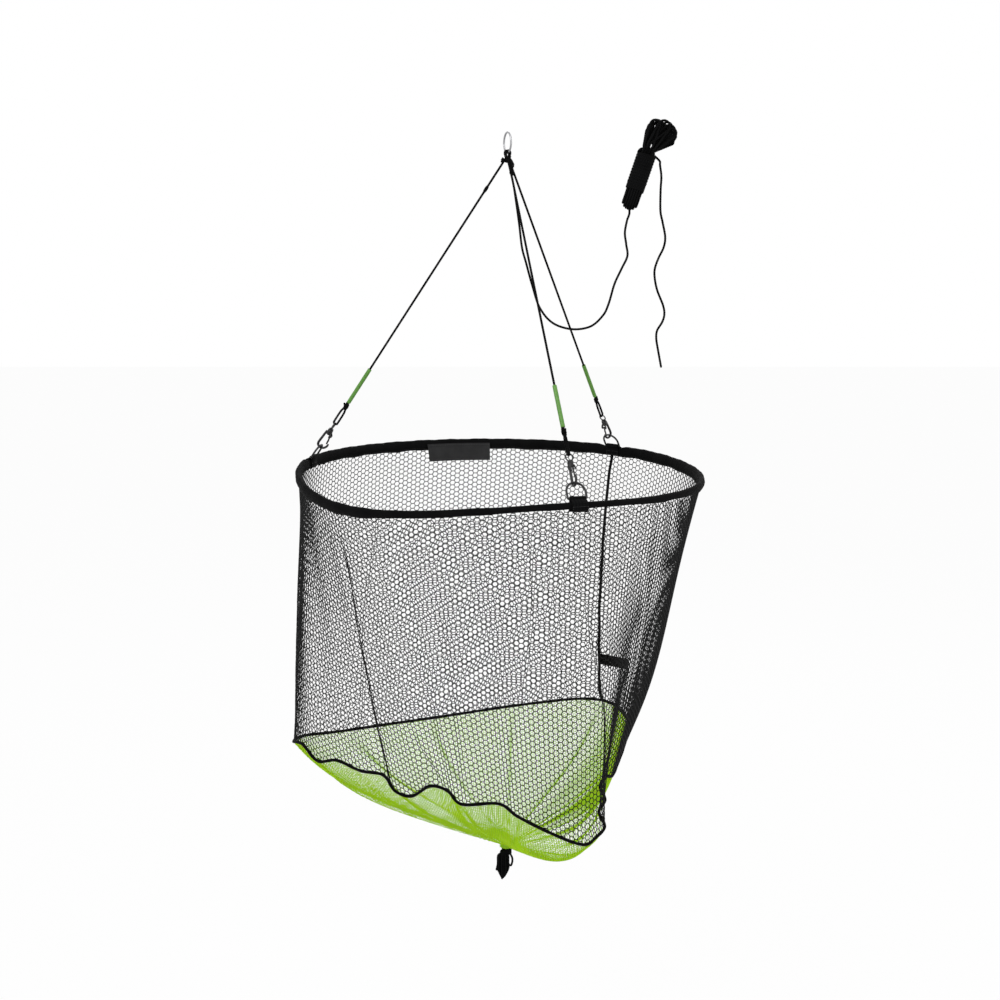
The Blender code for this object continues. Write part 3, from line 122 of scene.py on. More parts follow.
floor_bm = bmesh.new()
bmesh.ops.create_grid(floor_bm, x_segments=1, y_segments=1, size=FLOOR_SIZE / 2)
bmesh.ops.translate(floor_bm, verts=floor_bm.verts, vec=(0, 0, FLOOR_DEPTH))
floor_data = bpy.data.meshes.new("studio_floor")
floor_bm.to_mesh(floor_data)
floor_bm.free()
studio_floor = linked("studio_floor", floor_data)
floor_look = bpy.data.materials.new("pale_floor")
floor_look.use_nodes = True
floor_tree = floor_look.node_tree
floor_shader = floor_tree.nodes["Principled BSDF"]
floor_shader.inputs["Base Color"].default_value = (0.88, 0.88, 0.88, 1)
floor_shader.inputs["Roughness"].default_value = 0.9
floor_mix = node(floor_tree, "MixShader")
floor_tree.links.new(backdrop_share(floor_tree, 0.0, 0.94), floor_mix.inputs["Fac"])
floor_tree.links.new(floor_shader.outputs[0], floor_mix.inputs[1])
floor_tree.links.new(node(floor_tree, "Emission").outputs[0], floor_mix.inputs[2])
floor_tree.links.new(floor_mix.outputs[0], floor_tree.nodes["Material Output"].inputs["Surface"])
floor_data.materials.append(floor_look)

# Hauling rope
# One black braided rope, 3.2 mm thick. It runs from the lift ring in a free bight to the hank, goes
# round the hank in ten turns, then through its open loops, and hangs down to its bare end.
MM = 0.001
UP = Vector((0, 0, 1))
ROPE_RADIUS = 0.0016
ROPE_SIDES = 12
ROPE_STEP = 0.0008
BRAID_RELIEF = 0.07
BLACK_BRAID = ((0.0010, 0.0010, 0.0012), (0.0065, 0.0065, 0.0067))
RING_INNER_RADIUS = 0.0130
RING_WIRE_RADIUS = 0.0014
APEX = Vector((0, 0, -2 * RING_INNER_RADIUS - RING_WIRE_RADIUS - 0.0035))
LEAD_POINTS = (
    (8, 0, -69), (12, 0, -93), (17, 1, -128), (21, 2, -160), (27, 2, -182), (36, 2, -214),
    (47, 1, -246), (66, 0, -268), (94, 0, -277), (121, 0, -273), (139, 0, -257), (147, 0, -240),
    (155, 0, -212), (165, 0, -190), (173, 0, -172), (171, 0, -155), (169, 1, -139),
)
TAIL_POINTS = (
    (219, 13, -44), (221, 11, -60), (220, 8, -79), (220, 5, -108), (223, 2, -124),
    (227, 0, -145), (225, 0, -160), (218, 0, -175), (213, 0, -190), (213, 0, -203),
    (217, 0, -221), (226, 0, -243), (228, 0, -256), (225, 0, -267), (218, 0, -279),
    (217, 0, -291), (220, 0, -308), (225, 0, -333),
)
HANK_FOOT = Vector((0.1728, 0.0, -0.1055))
HANK_LEAN = math.radians(18.5)
CORE_RADIUS = 0.0104
CORE_HEIGHT = 0.0840
BULB_RADIUS = 0.0132
BULB_HEIGHT = 0.0270
COIL_GAP = 0.0005
LEAD_IN = Vector((0.0045, 0.0035, -0.0105))
LEAD_IN_BEND = ((0.9, 0.50, -3.0), (0.7, 0.76, 0.6), (0.4, 0.96, 5.8), (0, 1, 12.0))
WRAP_START = 0.0385
WRAP_PITCH = 0.00415
WRAP_TURNS = 10
WRAP_RADIUS = CORE_RADIUS + COIL_GAP + ROPE_RADIUS
WRAP_TOP = WRAP_START + WRAP_PITCH * WRAP_TURNS
FAN_LOOPS = 6
FAN_DEPTH = 0.0046 * FAN_LOOPS / 2
FAN_FOOT_RADIUS = 0.0064
FAN_TIP_RADIUS = 0.0080
FAN_REACH = 0.0285
FAN_ACROSS = (-0.0025, 0.0050)
FAN_LEAN = (math.radians(0), math.radians(32))
FAN_BASE = CORE_HEIGHT + COIL_GAP + ROPE_RADIUS
POINTS_A_LOOP = 24


def in_mm(points):
    """Points from millimetres. Those with two values lie in X and Z."""
    return [Vector(p if len(p) == 3 else (p[0], 0, p[1])) * MM for p in points]


def at_angle(angle, radius, height=0.0):
    """A point at an angle and a distance from the upright axis."""
    return Vector((radius * math.cos(angle), radius * math.sin(angle), height))


def mix(pair, share):
    """A value between the two of a pair."""
    return pair[0] + (pair[1] - pair[0]) * share


def eased(share):
    """A share that starts and ends slowly."""
    return share * share * (3 - 2 * share)


def between(p0, p1, p2, p3, t):
    """A point of the smooth curve that runs from p1 to p2."""
    square = (2 * p0 - 5 * p1 + 4 * p2 - p3) * t * t
    return 0.5 * (2 * p1 + (p2 - p0) * t + square + (3 * p1 - p0 - 3 * p2 + p3) * t**3)


def smooth_curve(points, step=ROPE_STEP, closed=False):
    """Points about one step apart along a smooth curve through the given points."""
    count = len(points)
    made = []
    for i in range(count if closed else count - 1):
        p1, p2 = points[i], points[(i + 1) % count]
        p0 = points[i - 1] if i or closed else p1 + (p1 - p2)
        p3 = points[(i + 2) % count] if i < count - 2 or closed else p2 + (p2 - p1)
        parts = max(1, round((p2 - p1).length / step))
        made += [between(p0, p1, p2, p3, k / parts) for k in range(parts)]
    return made if closed else made + [points[-1]]


def ways_along(path, closed=False):
    """The direction of a path at each of its points."""
    count = len(path)
    ways = []
    for i in range(count):
        before = path[i - 1] if i or closed else path[0]
        after = path[(i + 1) % count] if i < count - 1 or closed else path[-1]
        ways.append((after - before).normalized())
    return ways


def lofted(rings, along, turns=1.0, closed=False):
    """A closed skin over rings of points. Its UV map "lay" counts round each ring and along them."""
    bm = bmesh.new()
    lay = bm.loops.layers.uv.new("lay")
    made = [[bm.verts.new(p) for p in ring] for ring in rings]
    count = len(rings[0])
    for r in range(len(rings) if closed else len(rings) - 1):
        one, other = made[r], made[(r + 1) % len(rings)]
        low, high = along[r], along[r + 1]
        for i in range(count):
            j = (i + 1) % count
            face = bm.faces.new((one[i], one[j], other[j], other[i]))
            left, right = turns * i / count, turns * (i + 1) / count
            for loop, where in zip(face.loops, ((left, low), (right, low), (right, high), (left, high))):
                loop[lay].uv = where
    if not closed:
        bm.faces.new(made[0][::-1])
        bm.faces.new(made[-1])
    return bm


def swept(path, radius, sides, relief=0.0, closed=False):
    """A round tube along a path. A braid's crossings stand proud of it by a share of its radius."""
    count = len(path)
    radii = radius if isinstance(radius, list) else [radius] * count
    turns = sides / 4
    pitch = math.tau * radii[0] / turns
    lengths = [0.0]
    for i in range(1, count + 1):
        lengths.append(lengths[-1] + (path[i % count] - path[i - 1]).length)
    if closed:
        pitch = lengths[-1] / round(lengths[-1] / pitch)
    tangents = ways_along(path, closed)
    side = tangents[0].orthogonal().normalized()
    frames = []
    for tangent in tangents:
        side = (side - side.dot(tangent) * tangent).normalized()
        frames.append((side, tangent.cross(side)))
    twist = 0.0
    if closed:
        end = frames[-1][0]
        end = (end - end.dot(tangents[0]) * tangents[0]).normalized()
        twist = math.atan2(end.cross(frames[0][0]).dot(tangents[0]), end.dot(frames[0][0]))
    rings = []
    for i, point in enumerate(path):
        across, other = frames[i]
        wave = relief * math.cos(math.tau * lengths[i] / pitch)
        ring = []
        for k in range(sides):
            angle = math.tau * k / sides + twist * i / count
            reach = radii[i] * (1 + (wave if k % 2 else -wave))
            ring.append(point + across * (reach * math.cos(angle)) + other * (reach * math.sin(angle)))
        rings.append(ring)
    return lofted(rings, [length / pitch for length in lengths], turns, closed)


def braided(path, radius=ROPE_RADIUS, sides=ROPE_SIDES):
    """A braided cord along a path."""
    return swept(path, radius, sides, BRAID_RELIEF)


def cut_cord(points, radius, sides=ROPE_SIDES):
    """A braided cord through points, with a rounded last end."""
    path = smooth_curve(points)
    return braided(path, [radius] * (len(path) - 2) + [radius * 0.86, radius * 0.5], sides)


def dress(name, mesh, body, looks, slot, *nodes, sharp=50):
    """A finished piece: it rides on a body, and stands for the CAD nodes that are named last."""
    data = bpy.data.meshes.new(name)
    mesh.to_mesh(data)
    mesh.free()
    data.shade_smooth()
    data.set_sharp_from_angle(angle=math.radians(sharp))
    made = linked(name, data)
    for look in looks if isinstance(looks, tuple) else (looks,):
        data.materials.append(look)
    if body:
        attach(made, body)
    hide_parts(*nodes)
    return made


def blank_look(name, roughness, **settings):
    """A material with its tree and its main shader. Settings are named for the shader's sockets."""
    made = bpy.data.materials.new(name)
    made.use_nodes = True
    shader = made.node_tree.nodes["Principled BSDF"]
    shader.inputs["Roughness"].default_value = roughness
    for socket, value in settings.items():
        shader.inputs[socket.replace("_", " ")].default_value = value
    return made, made.node_tree, shader


def noise(tree, scale, detail=3.0, stretch=(1, 1, 1)):
    """Object-space noise, drawn out along an axis where the stretch is small."""
    turn = node(tree, "Mapping")
    turn.inputs["Scale"].default_value = stretch
    made = node(tree, "TexNoise")
    made.inputs["Scale"].default_value = scale
    made.inputs["Detail"].default_value = detail
    tree.links.new(node(tree, "TexCoord").outputs["Object"], turn.inputs["Vector"])
    tree.links.new(turn.outputs[0], made.inputs["Vector"])
    return made.outputs["Fac"]


def tint(tree, shader, value, dark, light, low, high):
    """Colours a surface from dark to light as the value goes from low to high."""
    made = node(tree, "ValToRGB")
    ends = made.color_ramp.elements
    for end, position, colour in zip(ends, (low, high), (dark, light)):
        end.position = position
        end.color = (*colour, 1)
    tree.links.new(value, made.inputs["Fac"])
    tree.links.new(made.outputs["Color"], shader.inputs["Base Color"])


def part_of_both(tree, one, other, share=0.5):
    """A share of the sum of two values."""
    return math_node(tree, "MULTIPLY", math_node(tree, "ADD", one, other), share)


def bumped(tree, shader, height, strength, distance):
    """Relief from a height."""
    made = node(tree, "Bump")
    made.inputs["Strength"].default_value = strength
    made.inputs["Distance"].default_value = distance
    tree.links.new(height, made.inputs["Height"])
    tree.links.new(made.outputs[0], shader.inputs["Normal"])


def lay_wave(tree, turn, scale):
    """Ridges across the piece's own UV map, turned by an angle."""
    turned = node(tree, "Mapping")
    turned.inputs["Rotation"].default_value = (0, 0, turn)
    made = node(tree, "TexWave")
    made.inputs["Scale"].default_value = scale
    tree.links.new(node(tree, "UVMap", uv_map="lay").outputs[0], turned.inputs["Vector"])
    tree.links.new(turned.outputs[0], made.inputs["Vector"])
    return made.outputs["Fac"]


def braid_look(name, roughness):
    """Braided cord: two sets of strands that cross round it, a little uneven, with fine fluff."""
    made, tree, shader = blank_look(name, roughness, Specular_IOR_Level=0.03)
    strands = part_of_both(tree, *[lay_wave(tree, math.radians(turn), 0.4443) for turn in (45, -45)])
    height = math_node(tree, "ADD", strands, math_node(tree, "MULTIPLY", noise(tree, 900, 4), 0.35))
    tint(tree, shader, part_of_both(tree, height, noise(tree, 35, 2)), *BLACK_BRAID, 0.25, 0.85)
    bumped(tree, shader, height, 0.6, 0.0003)
    return made


def fan_turn(share, reach, tip, lean, depth, across):
    """A point of an open loop of the hank: out on the right, over the top, back on the left."""
    foot = FAN_FOOT_RADIUS
    runs = (math.pi * foot / 2, reach, math.pi * tip, reach, math.pi * foot / 2)
    run = share * sum(runs)
    stage = 0
    while stage < 4 and run > runs[stage]:
        run -= runs[stage]
        stage += 1
    done = run / runs[stage]
    if stage in (0, 4):
        angle = math.pi / 2 * (done + (2 if stage else -1))
        x, z = foot * math.cos(angle), foot * math.sin(angle)
    elif stage == 2:
        x, z = tip * math.cos(done * math.pi), reach + tip * math.sin(done * math.pi)
    else:
        up = done if stage == 1 else 1 - done
        x, z = mix((foot, tip), up) * (2 - stage), reach * up
    out = across + x * math.cos(lean) + z * math.sin(lean)
    return Vector((out, depth, FAN_BASE + foot + z * math.cos(lean) - x * math.sin(lean)))


def rope_fan_turn(through, share):
    """A point of one of the rope's own open loops. Each leans further out than the one before."""
    lean, across = mix(FAN_LEAN, through), mix(FAN_ACROSS, through)
    return fan_turn(share, FAN_REACH, FAN_TIP_RADIUS, lean, FAN_DEPTH * (2 * through - 1), across)


hank_up = Vector((math.sin(HANK_LEAN), 0, math.cos(HANK_LEAN)))
HANK_FRAME = Matrix((Vector((hank_up.z, 0, -hank_up.x)), Vector((0, 1, 0)), hank_up)).transposed().to_4x4()
HANK_FRAME.translation = HANK_FOOT
beside_bulb = BULB_RADIUS + COIL_GAP + ROPE_RADIUS
rope_in_hank = [LEAD_IN + UP * step for step in (0, 0.0022, 0.0044)]
rope_in_hank += [Vector((LEAD_IN.x * x, beside_bulb * y, z * MM)) for x, y, z in LEAD_IN_BEND]
first_low = rope_in_hank[-1].z
for step in range(1, 10):
    share = step / 10
    height = first_low + (WRAP_START - first_low) * (share + 0.12 * math.sin(math.pi * share))
    past_bulb = max(0.0, min(1.0, (height - BULB_HEIGHT) / (WRAP_START - ROPE_RADIUS - BULB_HEIGHT)))
    radius = mix((beside_bulb, WRAP_RADIUS), eased(past_bulb))
    rope_in_hank.append(at_angle(math.pi / 2 * (1 + share * share), radius, height))
for step in range(WRAP_TURNS * POINTS_A_LOOP + 1):
    angle = math.pi + math.tau * step / POINTS_A_LOOP
    rope_in_hank.append(at_angle(angle, WRAP_RADIUS, WRAP_START + WRAP_PITCH * step / POINTS_A_LOOP))
for step in range(1, POINTS_A_LOOP // 4):
    share = step * 4 / POINTS_A_LOOP
    height = mix((WRAP_TOP, FAN_BASE), 2 * share - share * share)
    bend = at_angle(math.pi * (1 + share / 2), mix((WRAP_RADIUS, FAN_DEPTH), eased(share)), height)
    rope_in_hank.append(bend + Vector((FAN_ACROSS[0] * eased(share), 0, 0)))
for loop in range(FAN_LOOPS):
    for step in range(POINTS_A_LOOP):
        share = step / POINTS_A_LOOP
        rope_in_hank.append(rope_fan_turn((loop + share) / FAN_LOOPS, share))
rope_in_hank.append(rope_fan_turn(1, 1))
rope_in_hank = [HANK_FRAME @ p for p in rope_in_hank]
tail = in_mm(TAIL_POINTS)
rope_points = [APEX - UP * 0.004] + in_mm(LEAD_POINTS)
rope_points.append(rope_in_hank[0] - (rope_in_hank[1] - rope_in_hank[0]).normalized() * 0.0058)
rope_points += rope_in_hank
rope_points.append(tail[0] + (tail[0] - tail[1]).normalized() * 0.0085 - hank_up * 0.0012)
rope_line = smooth_curve(rope_points + tail)
rope_look = braid_look("black_braided_rope", 0.72)
rope_bm = cut_cord(rope_points + tail, ROPE_RADIUS)
rope = dress("hauling_rope", rope_bm, "net", rope_look, "black_rope", "rope_lead", "rope_hank", "rope_tail")

# Hank's inner strands
# The rope's own long bights, laid side by side before the wraps go round them. Their bends show
# as a round bulb at the foot, and more of their open loops stand in the fan at the top.
STRAND_SPACING = 0.0033
STRAND_BULB = 0.0114
STRAND_WAIST = 0.0090
BUNDLE_STEP = 0.0012
BUNDLE_LOOPS = (
    (0.0285, 0.0070, -1, -0.0160, -0.0030), (0.0310, 0.0085, 14, -0.0168, 0.0015),
    (0.0310, 0.0062, 35, -0.0156, 0.0050), (0.0285, 0.0090, 8, 0.0162, 0.0010),
    (0.0260, 0.0030, 57, -0.0040, 0.0055), (0.0330, 0.0072, 20, -0.0090, 0.0030),
    (0.0280, 0.0060, 3, 0.0060, 0.0000), (0.0330, 0.0070, 27, 0.0100, 0.0040),
    (0.0300, 0.0058, 42, -0.0060, 0.0050), (0.0285, 0.0048, 48, 0.0085, 0.0052),
    (0.0240, 0.0075, -6, -0.0050, -0.0015), (0.0200, 0.0070, -8, 0.0120, -0.0010),
    (0.0310, 0.0085, 30, -0.0125, 0.0030), (0.0275, 0.0065, 45, 0.0140, 0.0040),
    (0.0250, 0.0050, 12, 0.0020, 0.0010),
)


def together(*parts):
    """Several bmeshes as one."""
    made = bmesh.new()
    for part in parts:
        data = bpy.data.meshes.new("part")
        part.to_mesh(data)
        part.free()
        made.from_mesh(data)
        bpy.data.meshes.remove(data)
    return made


def placed(bm, matrix):
    """The bmesh, moved by a matrix."""
    bmesh.ops.transform(bm, matrix=matrix, verts=bm.verts)
    return bm


bundle_lines = []
for row in range(-3, 4):
    across = row * STRAND_SPACING
    for layer in (1.0, 0.5) if abs(row) < 2 else (1.0,):
        bulb = layer * math.sqrt(max(STRAND_BULB**2 - across**2, 0.0034**2))
        waist_across = across * STRAND_WAIST / STRAND_BULB
        waist = layer * math.sqrt(max(STRAND_WAIST**2 - waist_across**2, 0.0026**2))
        foot = BULB_RADIUS - 0.0016 - bulb
        bight = [Vector((waist_across, -waist, height)) for height in (0.083, 0.034)]
        bight += [Vector((across, -bulb, height)) for height in (0.0275, 0.018, foot + bulb)]
        for k in range(1, 6):
            angle = math.pi * k / 6
            bight.append(Vector((across, -bulb * math.cos(angle), foot + bulb * (1 - math.sin(angle)))))
        bight += [Vector((p.x, -p.y, p.z)) for p in bight[4::-1]]
        bundle_lines.append(smooth_curve(bight, BUNDLE_STEP))
for reach, tip, lean, depth, across in BUNDLE_LOOPS:
    loop = [fan_turn(k / 40, reach, tip, math.radians(lean), depth, across) for k in range(2, 39)]
    low = [Vector((p.x, p.y * 0.55, CORE_HEIGHT - 0.004)) for p in (loop[0], loop[-1])]
    bundle_lines.append(smooth_curve([low[0]] + loop + [low[1]], BUNDLE_STEP))
under_wraps = []
for step in range(-5 * POINTS_A_LOOP, (WRAP_TURNS + 1) * POINTS_A_LOOP):
    done = step / POINTS_A_LOOP
    height = WRAP_START + WRAP_PITCH * done * (0.5 if step < 0 else 1)
    radius = WRAP_RADIUS - 0.0003 - 0.0024 * max(0.0, done - WRAP_TURNS)
    under_wraps.append(at_angle(math.tau * done, radius, height))
bundle_lines.append(under_wraps)
bundle_bm = together(*[braided([HANK_FRAME @ p for p in line]) for line in bundle_lines])
bundle = dress("hank_bundle", bundle_bm, "net", rope_look, "black_rope", "hank_core")

# Bridle cords
# Three braided cords of the same thickness, spliced back on themselves below the lift ring and
# pulled taut by the hoop. Each goes down into a grip sleeve near its snap.
HOOP_RADIUS = 0.2965
HOOP_CENTRE = Vector((-0.0107, 0.0063, -0.486))
HOOP_LEAN = -0.0131
HOOP_SAG = {"rear": 0.0008, "left": 0.0214, "front": 0.0070}
LEG_AZIMUTH = {"rear": math.radians(50.6), "left": math.radians(168), "front": math.radians(290.2)}
LEG_ORDER = ("rear", "left", "front")
TAB_FACET = math.radians(7.5)
GRIP_BOTTOM = 0.1110
GRIP_LENGTH = 0.0620
SPLICE_AT = 0.490
SPLICE_SIZE = 0.55


def leg_span(azimuth):
    """The leg before an azimuth, the leg after it, and the share of the way from one to the other."""
    for leg, after in zip(LEG_ORDER, LEG_ORDER[1:] + LEG_ORDER[:1]):
        span = (LEG_AZIMUTH[after] - LEG_AZIMUTH[leg]) % math.tau
        share = ((azimuth - LEG_AZIMUTH[leg]) % math.tau) / span
        if share <= 1:
            return leg, after, share


def hoop_point(azimuth):
    """The hoop rod's centre line. The hoop is held at the legs, and it sags between them."""
    leg, after, share = leg_span(azimuth)
    at = at_angle(azimuth, HOOP_RADIUS)
    at.z = HOOP_LEAN * at.x - HOOP_SAG[leg] * math.sin(math.pi * share) ** 2
    return HOOP_CENTRE + at


def frame_of(origin, x_axis, z_axis):
    """A right-handed frame with its Z along z_axis and its X as near x_axis as it can be."""
    z_axis = z_axis.normalized()
    x_axis = (x_axis - x_axis.dot(z_axis) * z_axis).normalized()
    made = Matrix((x_axis, z_axis.cross(x_axis), z_axis)).transposed().to_4x4()
    made.translation = origin
    return made


def hump(away, width, power=2):
    """One at its middle, and less the further away, over a width."""
    return math.exp(-((away / width) ** power))


SADDLES = {}
LEGS = {}
LEG_LENGTHS = {}
for leg in LEG_ORDER:
    start, end = [hoop_point(LEG_AZIMUTH[leg] + turn) for turn in (-TAB_FACET / 2, TAB_FACET / 2)]
    middle = (start + end) / 2
    out = (end - start).cross(UP).normalized()
    SADDLES[leg] = frame_of(middle, out, out.cross((end - start).normalized()))
    LEGS[leg] = frame_of(middle, out, APEX - middle)
    LEG_LENGTHS[leg] = (APEX - middle).length

cord_look = braid_look("black_bridle_braid", 0.7)
for leg in LEG_ORDER:
    low = GRIP_BOTTOM + GRIP_LENGTH - 0.012
    high = LEG_LENGTHS[leg] - 0.002
    steps = round((high - low) / ROPE_STEP)
    heights = [high + (low - high) * k / steps for k in range(steps + 1)]
    splice = SPLICE_SIZE if leg == "left" else 0
    radii = [ROPE_RADIUS * (1 + splice * hump(h - SPLICE_AT, 0.0045, 4)) for h in heights]
    line = [LEGS[leg] @ Vector((0, 0, h)) for h in heights]
    bridle_bm = braided(line, radii)
    bridle = dress(leg + "_bridle", bridle_bm, "net", cord_look, "black_cord", leg + "_bridle_cord")

# Hitch on the lift ring
# The three cords and the rope go over the ring's wire side by side. A tight whipping binds them
# below it, and each cord's own end lies beside it for a short way.
RING_TURN = math.radians(20)
RING_MID_RADIUS = RING_INNER_RADIUS + RING_WIRE_RADIUS
RING_CENTRE = Vector((0, 0, -RING_INNER_RADIUS))
HITCH_STRAND = 0.0015
HITCH_SPACING = 0.0031
HITCH_TURN = 3.15
LEG_STUBS = {"left": 0.013, "rear": 0.020, "front": 0.034}
LEG_STUB_SIDES = {"left": 1, "rear": -1, "front": -1}


def arc(middle, radius, start, end, steps):
    """Flat points along an arc about a middle, from one angle to another in degrees."""
    made = []
    for k in range(steps + 1):
        at = math.radians(start + (end - start) * k / steps)
        made.append((middle[0] + radius * math.cos(at), middle[1] + radius * math.sin(at)))
    return made


ring_axis = at_angle(RING_TURN, 1)
ring_way = Vector((-ring_axis.y, ring_axis.x, 0))
ring_low = RING_CENTRE - UP * RING_MID_RADIUS
over_wire = [(-1.3, -9.5), (-2.2, -5.6), (-3.05, -2.4)]
over_wire += arc((0, 0), HITCH_TURN, 180, 0, 6)
over_wire += [(3.05, -2.4), (2.2, -5.6), (1.3, -9.5)]
hitch_parts = []
for place in (-HITCH_SPACING, 0, HITCH_SPACING):
    eye = ring_low + ring_way * place + UP * (place * place / (2 * RING_MID_RADIUS))
    bight = [eye + (ring_axis * x + UP * z) * MM - ring_way * place * max(0, -z / 16) for x, z in over_wire]
    hitch_parts.append(braided(smooth_curve(bight), HITCH_STRAND))
whip_line = []
for k in range(64):
    share = k / 63
    turn = at_angle(math.tau * 3.2 * share, 0.0034 - 0.0006 * share, -0.0325 - 0.0088 * share)
    whip_line.append(turn + Vector((0.0006, 0, 0)))
hitch_parts.append(braided(whip_line, 0.0014))
for leg, stub in LEG_STUBS.items():
    line, length = LEGS[leg], LEG_LENGTHS[leg]
    cord_way = line.to_3x3() @ UP
    side = cord_way.cross(Vector((0, 1, 0))).normalized() * LEG_STUB_SIDES[leg]
    over = side * 0.0029
    lay = [(0.6, 0.006), (1.0, 0.010), (1.0, stub - 0.006), (0.75, stub)]
    stub_points = [line @ Vector((0, 0, length - down)) + over * share for share, down in lay]
    hitch_parts.append(cut_cord(stub_points, HITCH_STRAND))
    whipping = []
    for k in range(49):
        angle = math.tau * k / 12
        middle = line @ Vector((0, 0, length - stub + 0.0030 + 0.0009 * k / 12)) + over * 0.45
        other = cord_way.cross(side) * (0.0020 * math.sin(angle))
        whipping.append(middle + side * (0.0033 * math.cos(angle)) + other)
    hitch_parts.append(swept(whipping, 0.00045, 6))
dress("ring_hitch_turns", together(*hitch_parts), "net", cord_look, "black_cord", "ring_hitch")

# Lift ring
# A welded ring of bright steel wire, that a hook or line takes. It shows fine scratches where the
# cords and the hook rub it.
METAL_GRAIN = 260


def metal_look(name, colour, roughness, metallic, scratch):
    """Bare or coated metal with fine scratches and uneven gloss."""
    made, tree, shader = blank_look(name, roughness, Metallic=metallic)
    cloud = noise(tree, METAL_GRAIN, 5)
    fine = noise(tree, METAL_GRAIN * 6, 2, (1, 1, 0.15))
    worn = tuple(min(1, c * (1 + scratch) + 0.01 * scratch) for c in colour)
    tint(tree, shader, cloud, colour, worn, 0.35, 0.75)
    gloss = node(tree, "MapRange")
    gloss.inputs["To Min"].default_value = roughness * 0.75
    gloss.inputs["To Max"].default_value = min(1, roughness * 1.35)
    tree.links.new(fine, gloss.inputs["Value"])
    tree.links.new(gloss.outputs[0], shader.inputs["Roughness"])
    bumped(tree, shader, math_node(tree, "ADD", cloud, fine), 0.12, 0.0001)
    return made


def faced_out(bm):
    """The bmesh, with all its faces turned outwards."""
    bmesh.ops.recalc_face_normals(bm, faces=bm.faces)
    return bm


def spun(outline, steps, closed=True):
    """A solid of revolution about Z. Its outline is closed in itself, or along the axis."""
    bm = bmesh.new()
    verts = [bm.verts.new(p) for p in outline]
    for one, other in zip(verts, verts[1:] + (verts[:1] if closed else [])):
        bm.edges.new((one, other))
    outline_geom = bm.verts[:] + bm.edges[:]
    bmesh.ops.spin(
        bm, geom=outline_geom, cent=(0, 0, 0), axis=(0, 0, 1), angle=math.tau, steps=steps, use_merge=True
    )
    bmesh.ops.remove_doubles(bm, verts=bm.verts, dist=1e-6)
    return faced_out(bm)


steel_look = metal_look("bright_steel_wire", (0.30, 0.30, 0.31), 0.28, 1.0, 0.5)
wire_ring = []
for k in range(14):
    wire = at_angle(math.tau * k / 14, RING_WIRE_RADIUS)
    wire_ring.append((RING_MID_RADIUS + wire.x, 0, wire.y))
ring_bm = placed(spun(wire_ring, 96), frame_of(RING_CENTRE, UP, ring_axis))
dress("lift_ring_wire", ring_bm, "lift", steel_look, "bright_steel", "lift_ring")

# Grip sleeves
# A length of green plastic tubing slid over each bridle, just above its knot. Its cut ends are a
# little rounded, and its surface is scuffed.
tube_look, tube_tree, tube_shader = blank_look(
    "green_tubing", 0.42, Subsurface_Weight=0.1, Subsurface_Scale=0.002
)
tone = part_of_both(tube_tree, noise(tube_tree, 180, 4), noise(tube_tree, 22, 2))
tint(tube_tree, tube_shader, tone, (0.060, 0.200, 0.018), (0.115, 0.300, 0.038), 0.3, 0.7)
bumped(tube_tree, tube_shader, tone, 0.2, 0.0002)
grip_outline = [(2.0, 0.4), (2.25, 0), (2.75, 0), (3.0, 0.35)]
grip_outline += [(3.0 + 0.06 * math.sin(k * 1.9), 4 + 6 * k) for k in range(10)]
grip_outline += [(3.0, 61.65), (2.75, 62), (2.25, 62), (2.0, 61.6), (2.0, 31)]
for leg in LEG_ORDER:
    grip_bm = spun([p + UP * GRIP_BOTTOM for p in in_mm(grip_outline)], 28)
    placed(grip_bm, LEGS[leg])
    dress(leg + "_grip_tube", grip_bm, leg + "_swivel", tube_look, "green_tube", leg + "_grip_sleeve")

# Cord loops
# Each bridle's lower end goes through the swivel's eye and back to a tight knot under the sleeve.
# The cut end stands out beside the knot.
LOOP_RADIUS = 3.0
LOOP_FOOT = 71.4
KNOT_AT = 0.1002
KNOT_HEIGHT = 0.0086
loop_outline = [(0.9, 101.6), (2.85, 93.4)]
loop_outline += arc((0, LOOP_FOOT + LOOP_RADIUS), LOOP_RADIUS, 0, -180, 6)
loop_outline += [(-2.85, 93.4), (-0.9, 101.6)]
knot_line = []
for k in range(73):
    share = k / 72
    angle = math.tau * 3 * share
    swell = 0.0018 + 0.0007 * math.sin(math.pi * share)
    turn = at_angle(angle, swell, KNOT_AT + KNOT_HEIGHT * share + 0.0012 * math.cos(angle + 0.7))
    turn.y *= 0.85
    knot_line.append(turn)
for leg in LEG_ORDER:
    parts = [
        braided(smooth_curve(in_mm(loop_outline))),
        braided(knot_line, ROPE_RADIUS * 0.95),
        cut_cord(in_mm(((0.5, 0, 103.5), (3.2, 0.5, 105.5), (5.2, 0.9, 107.6))), ROPE_RADIUS),
        braided(smooth_curve(in_mm([(0, z) for z in (100, 104, 108, 116, 124)]))),
    ]
    loop_bm = placed(together(*parts), LEGS[leg])
    dress(leg + "_loop_and_knot", loop_bm, leg + "_swivel", cord_look, "black_cord", leg + "_cord_loop")

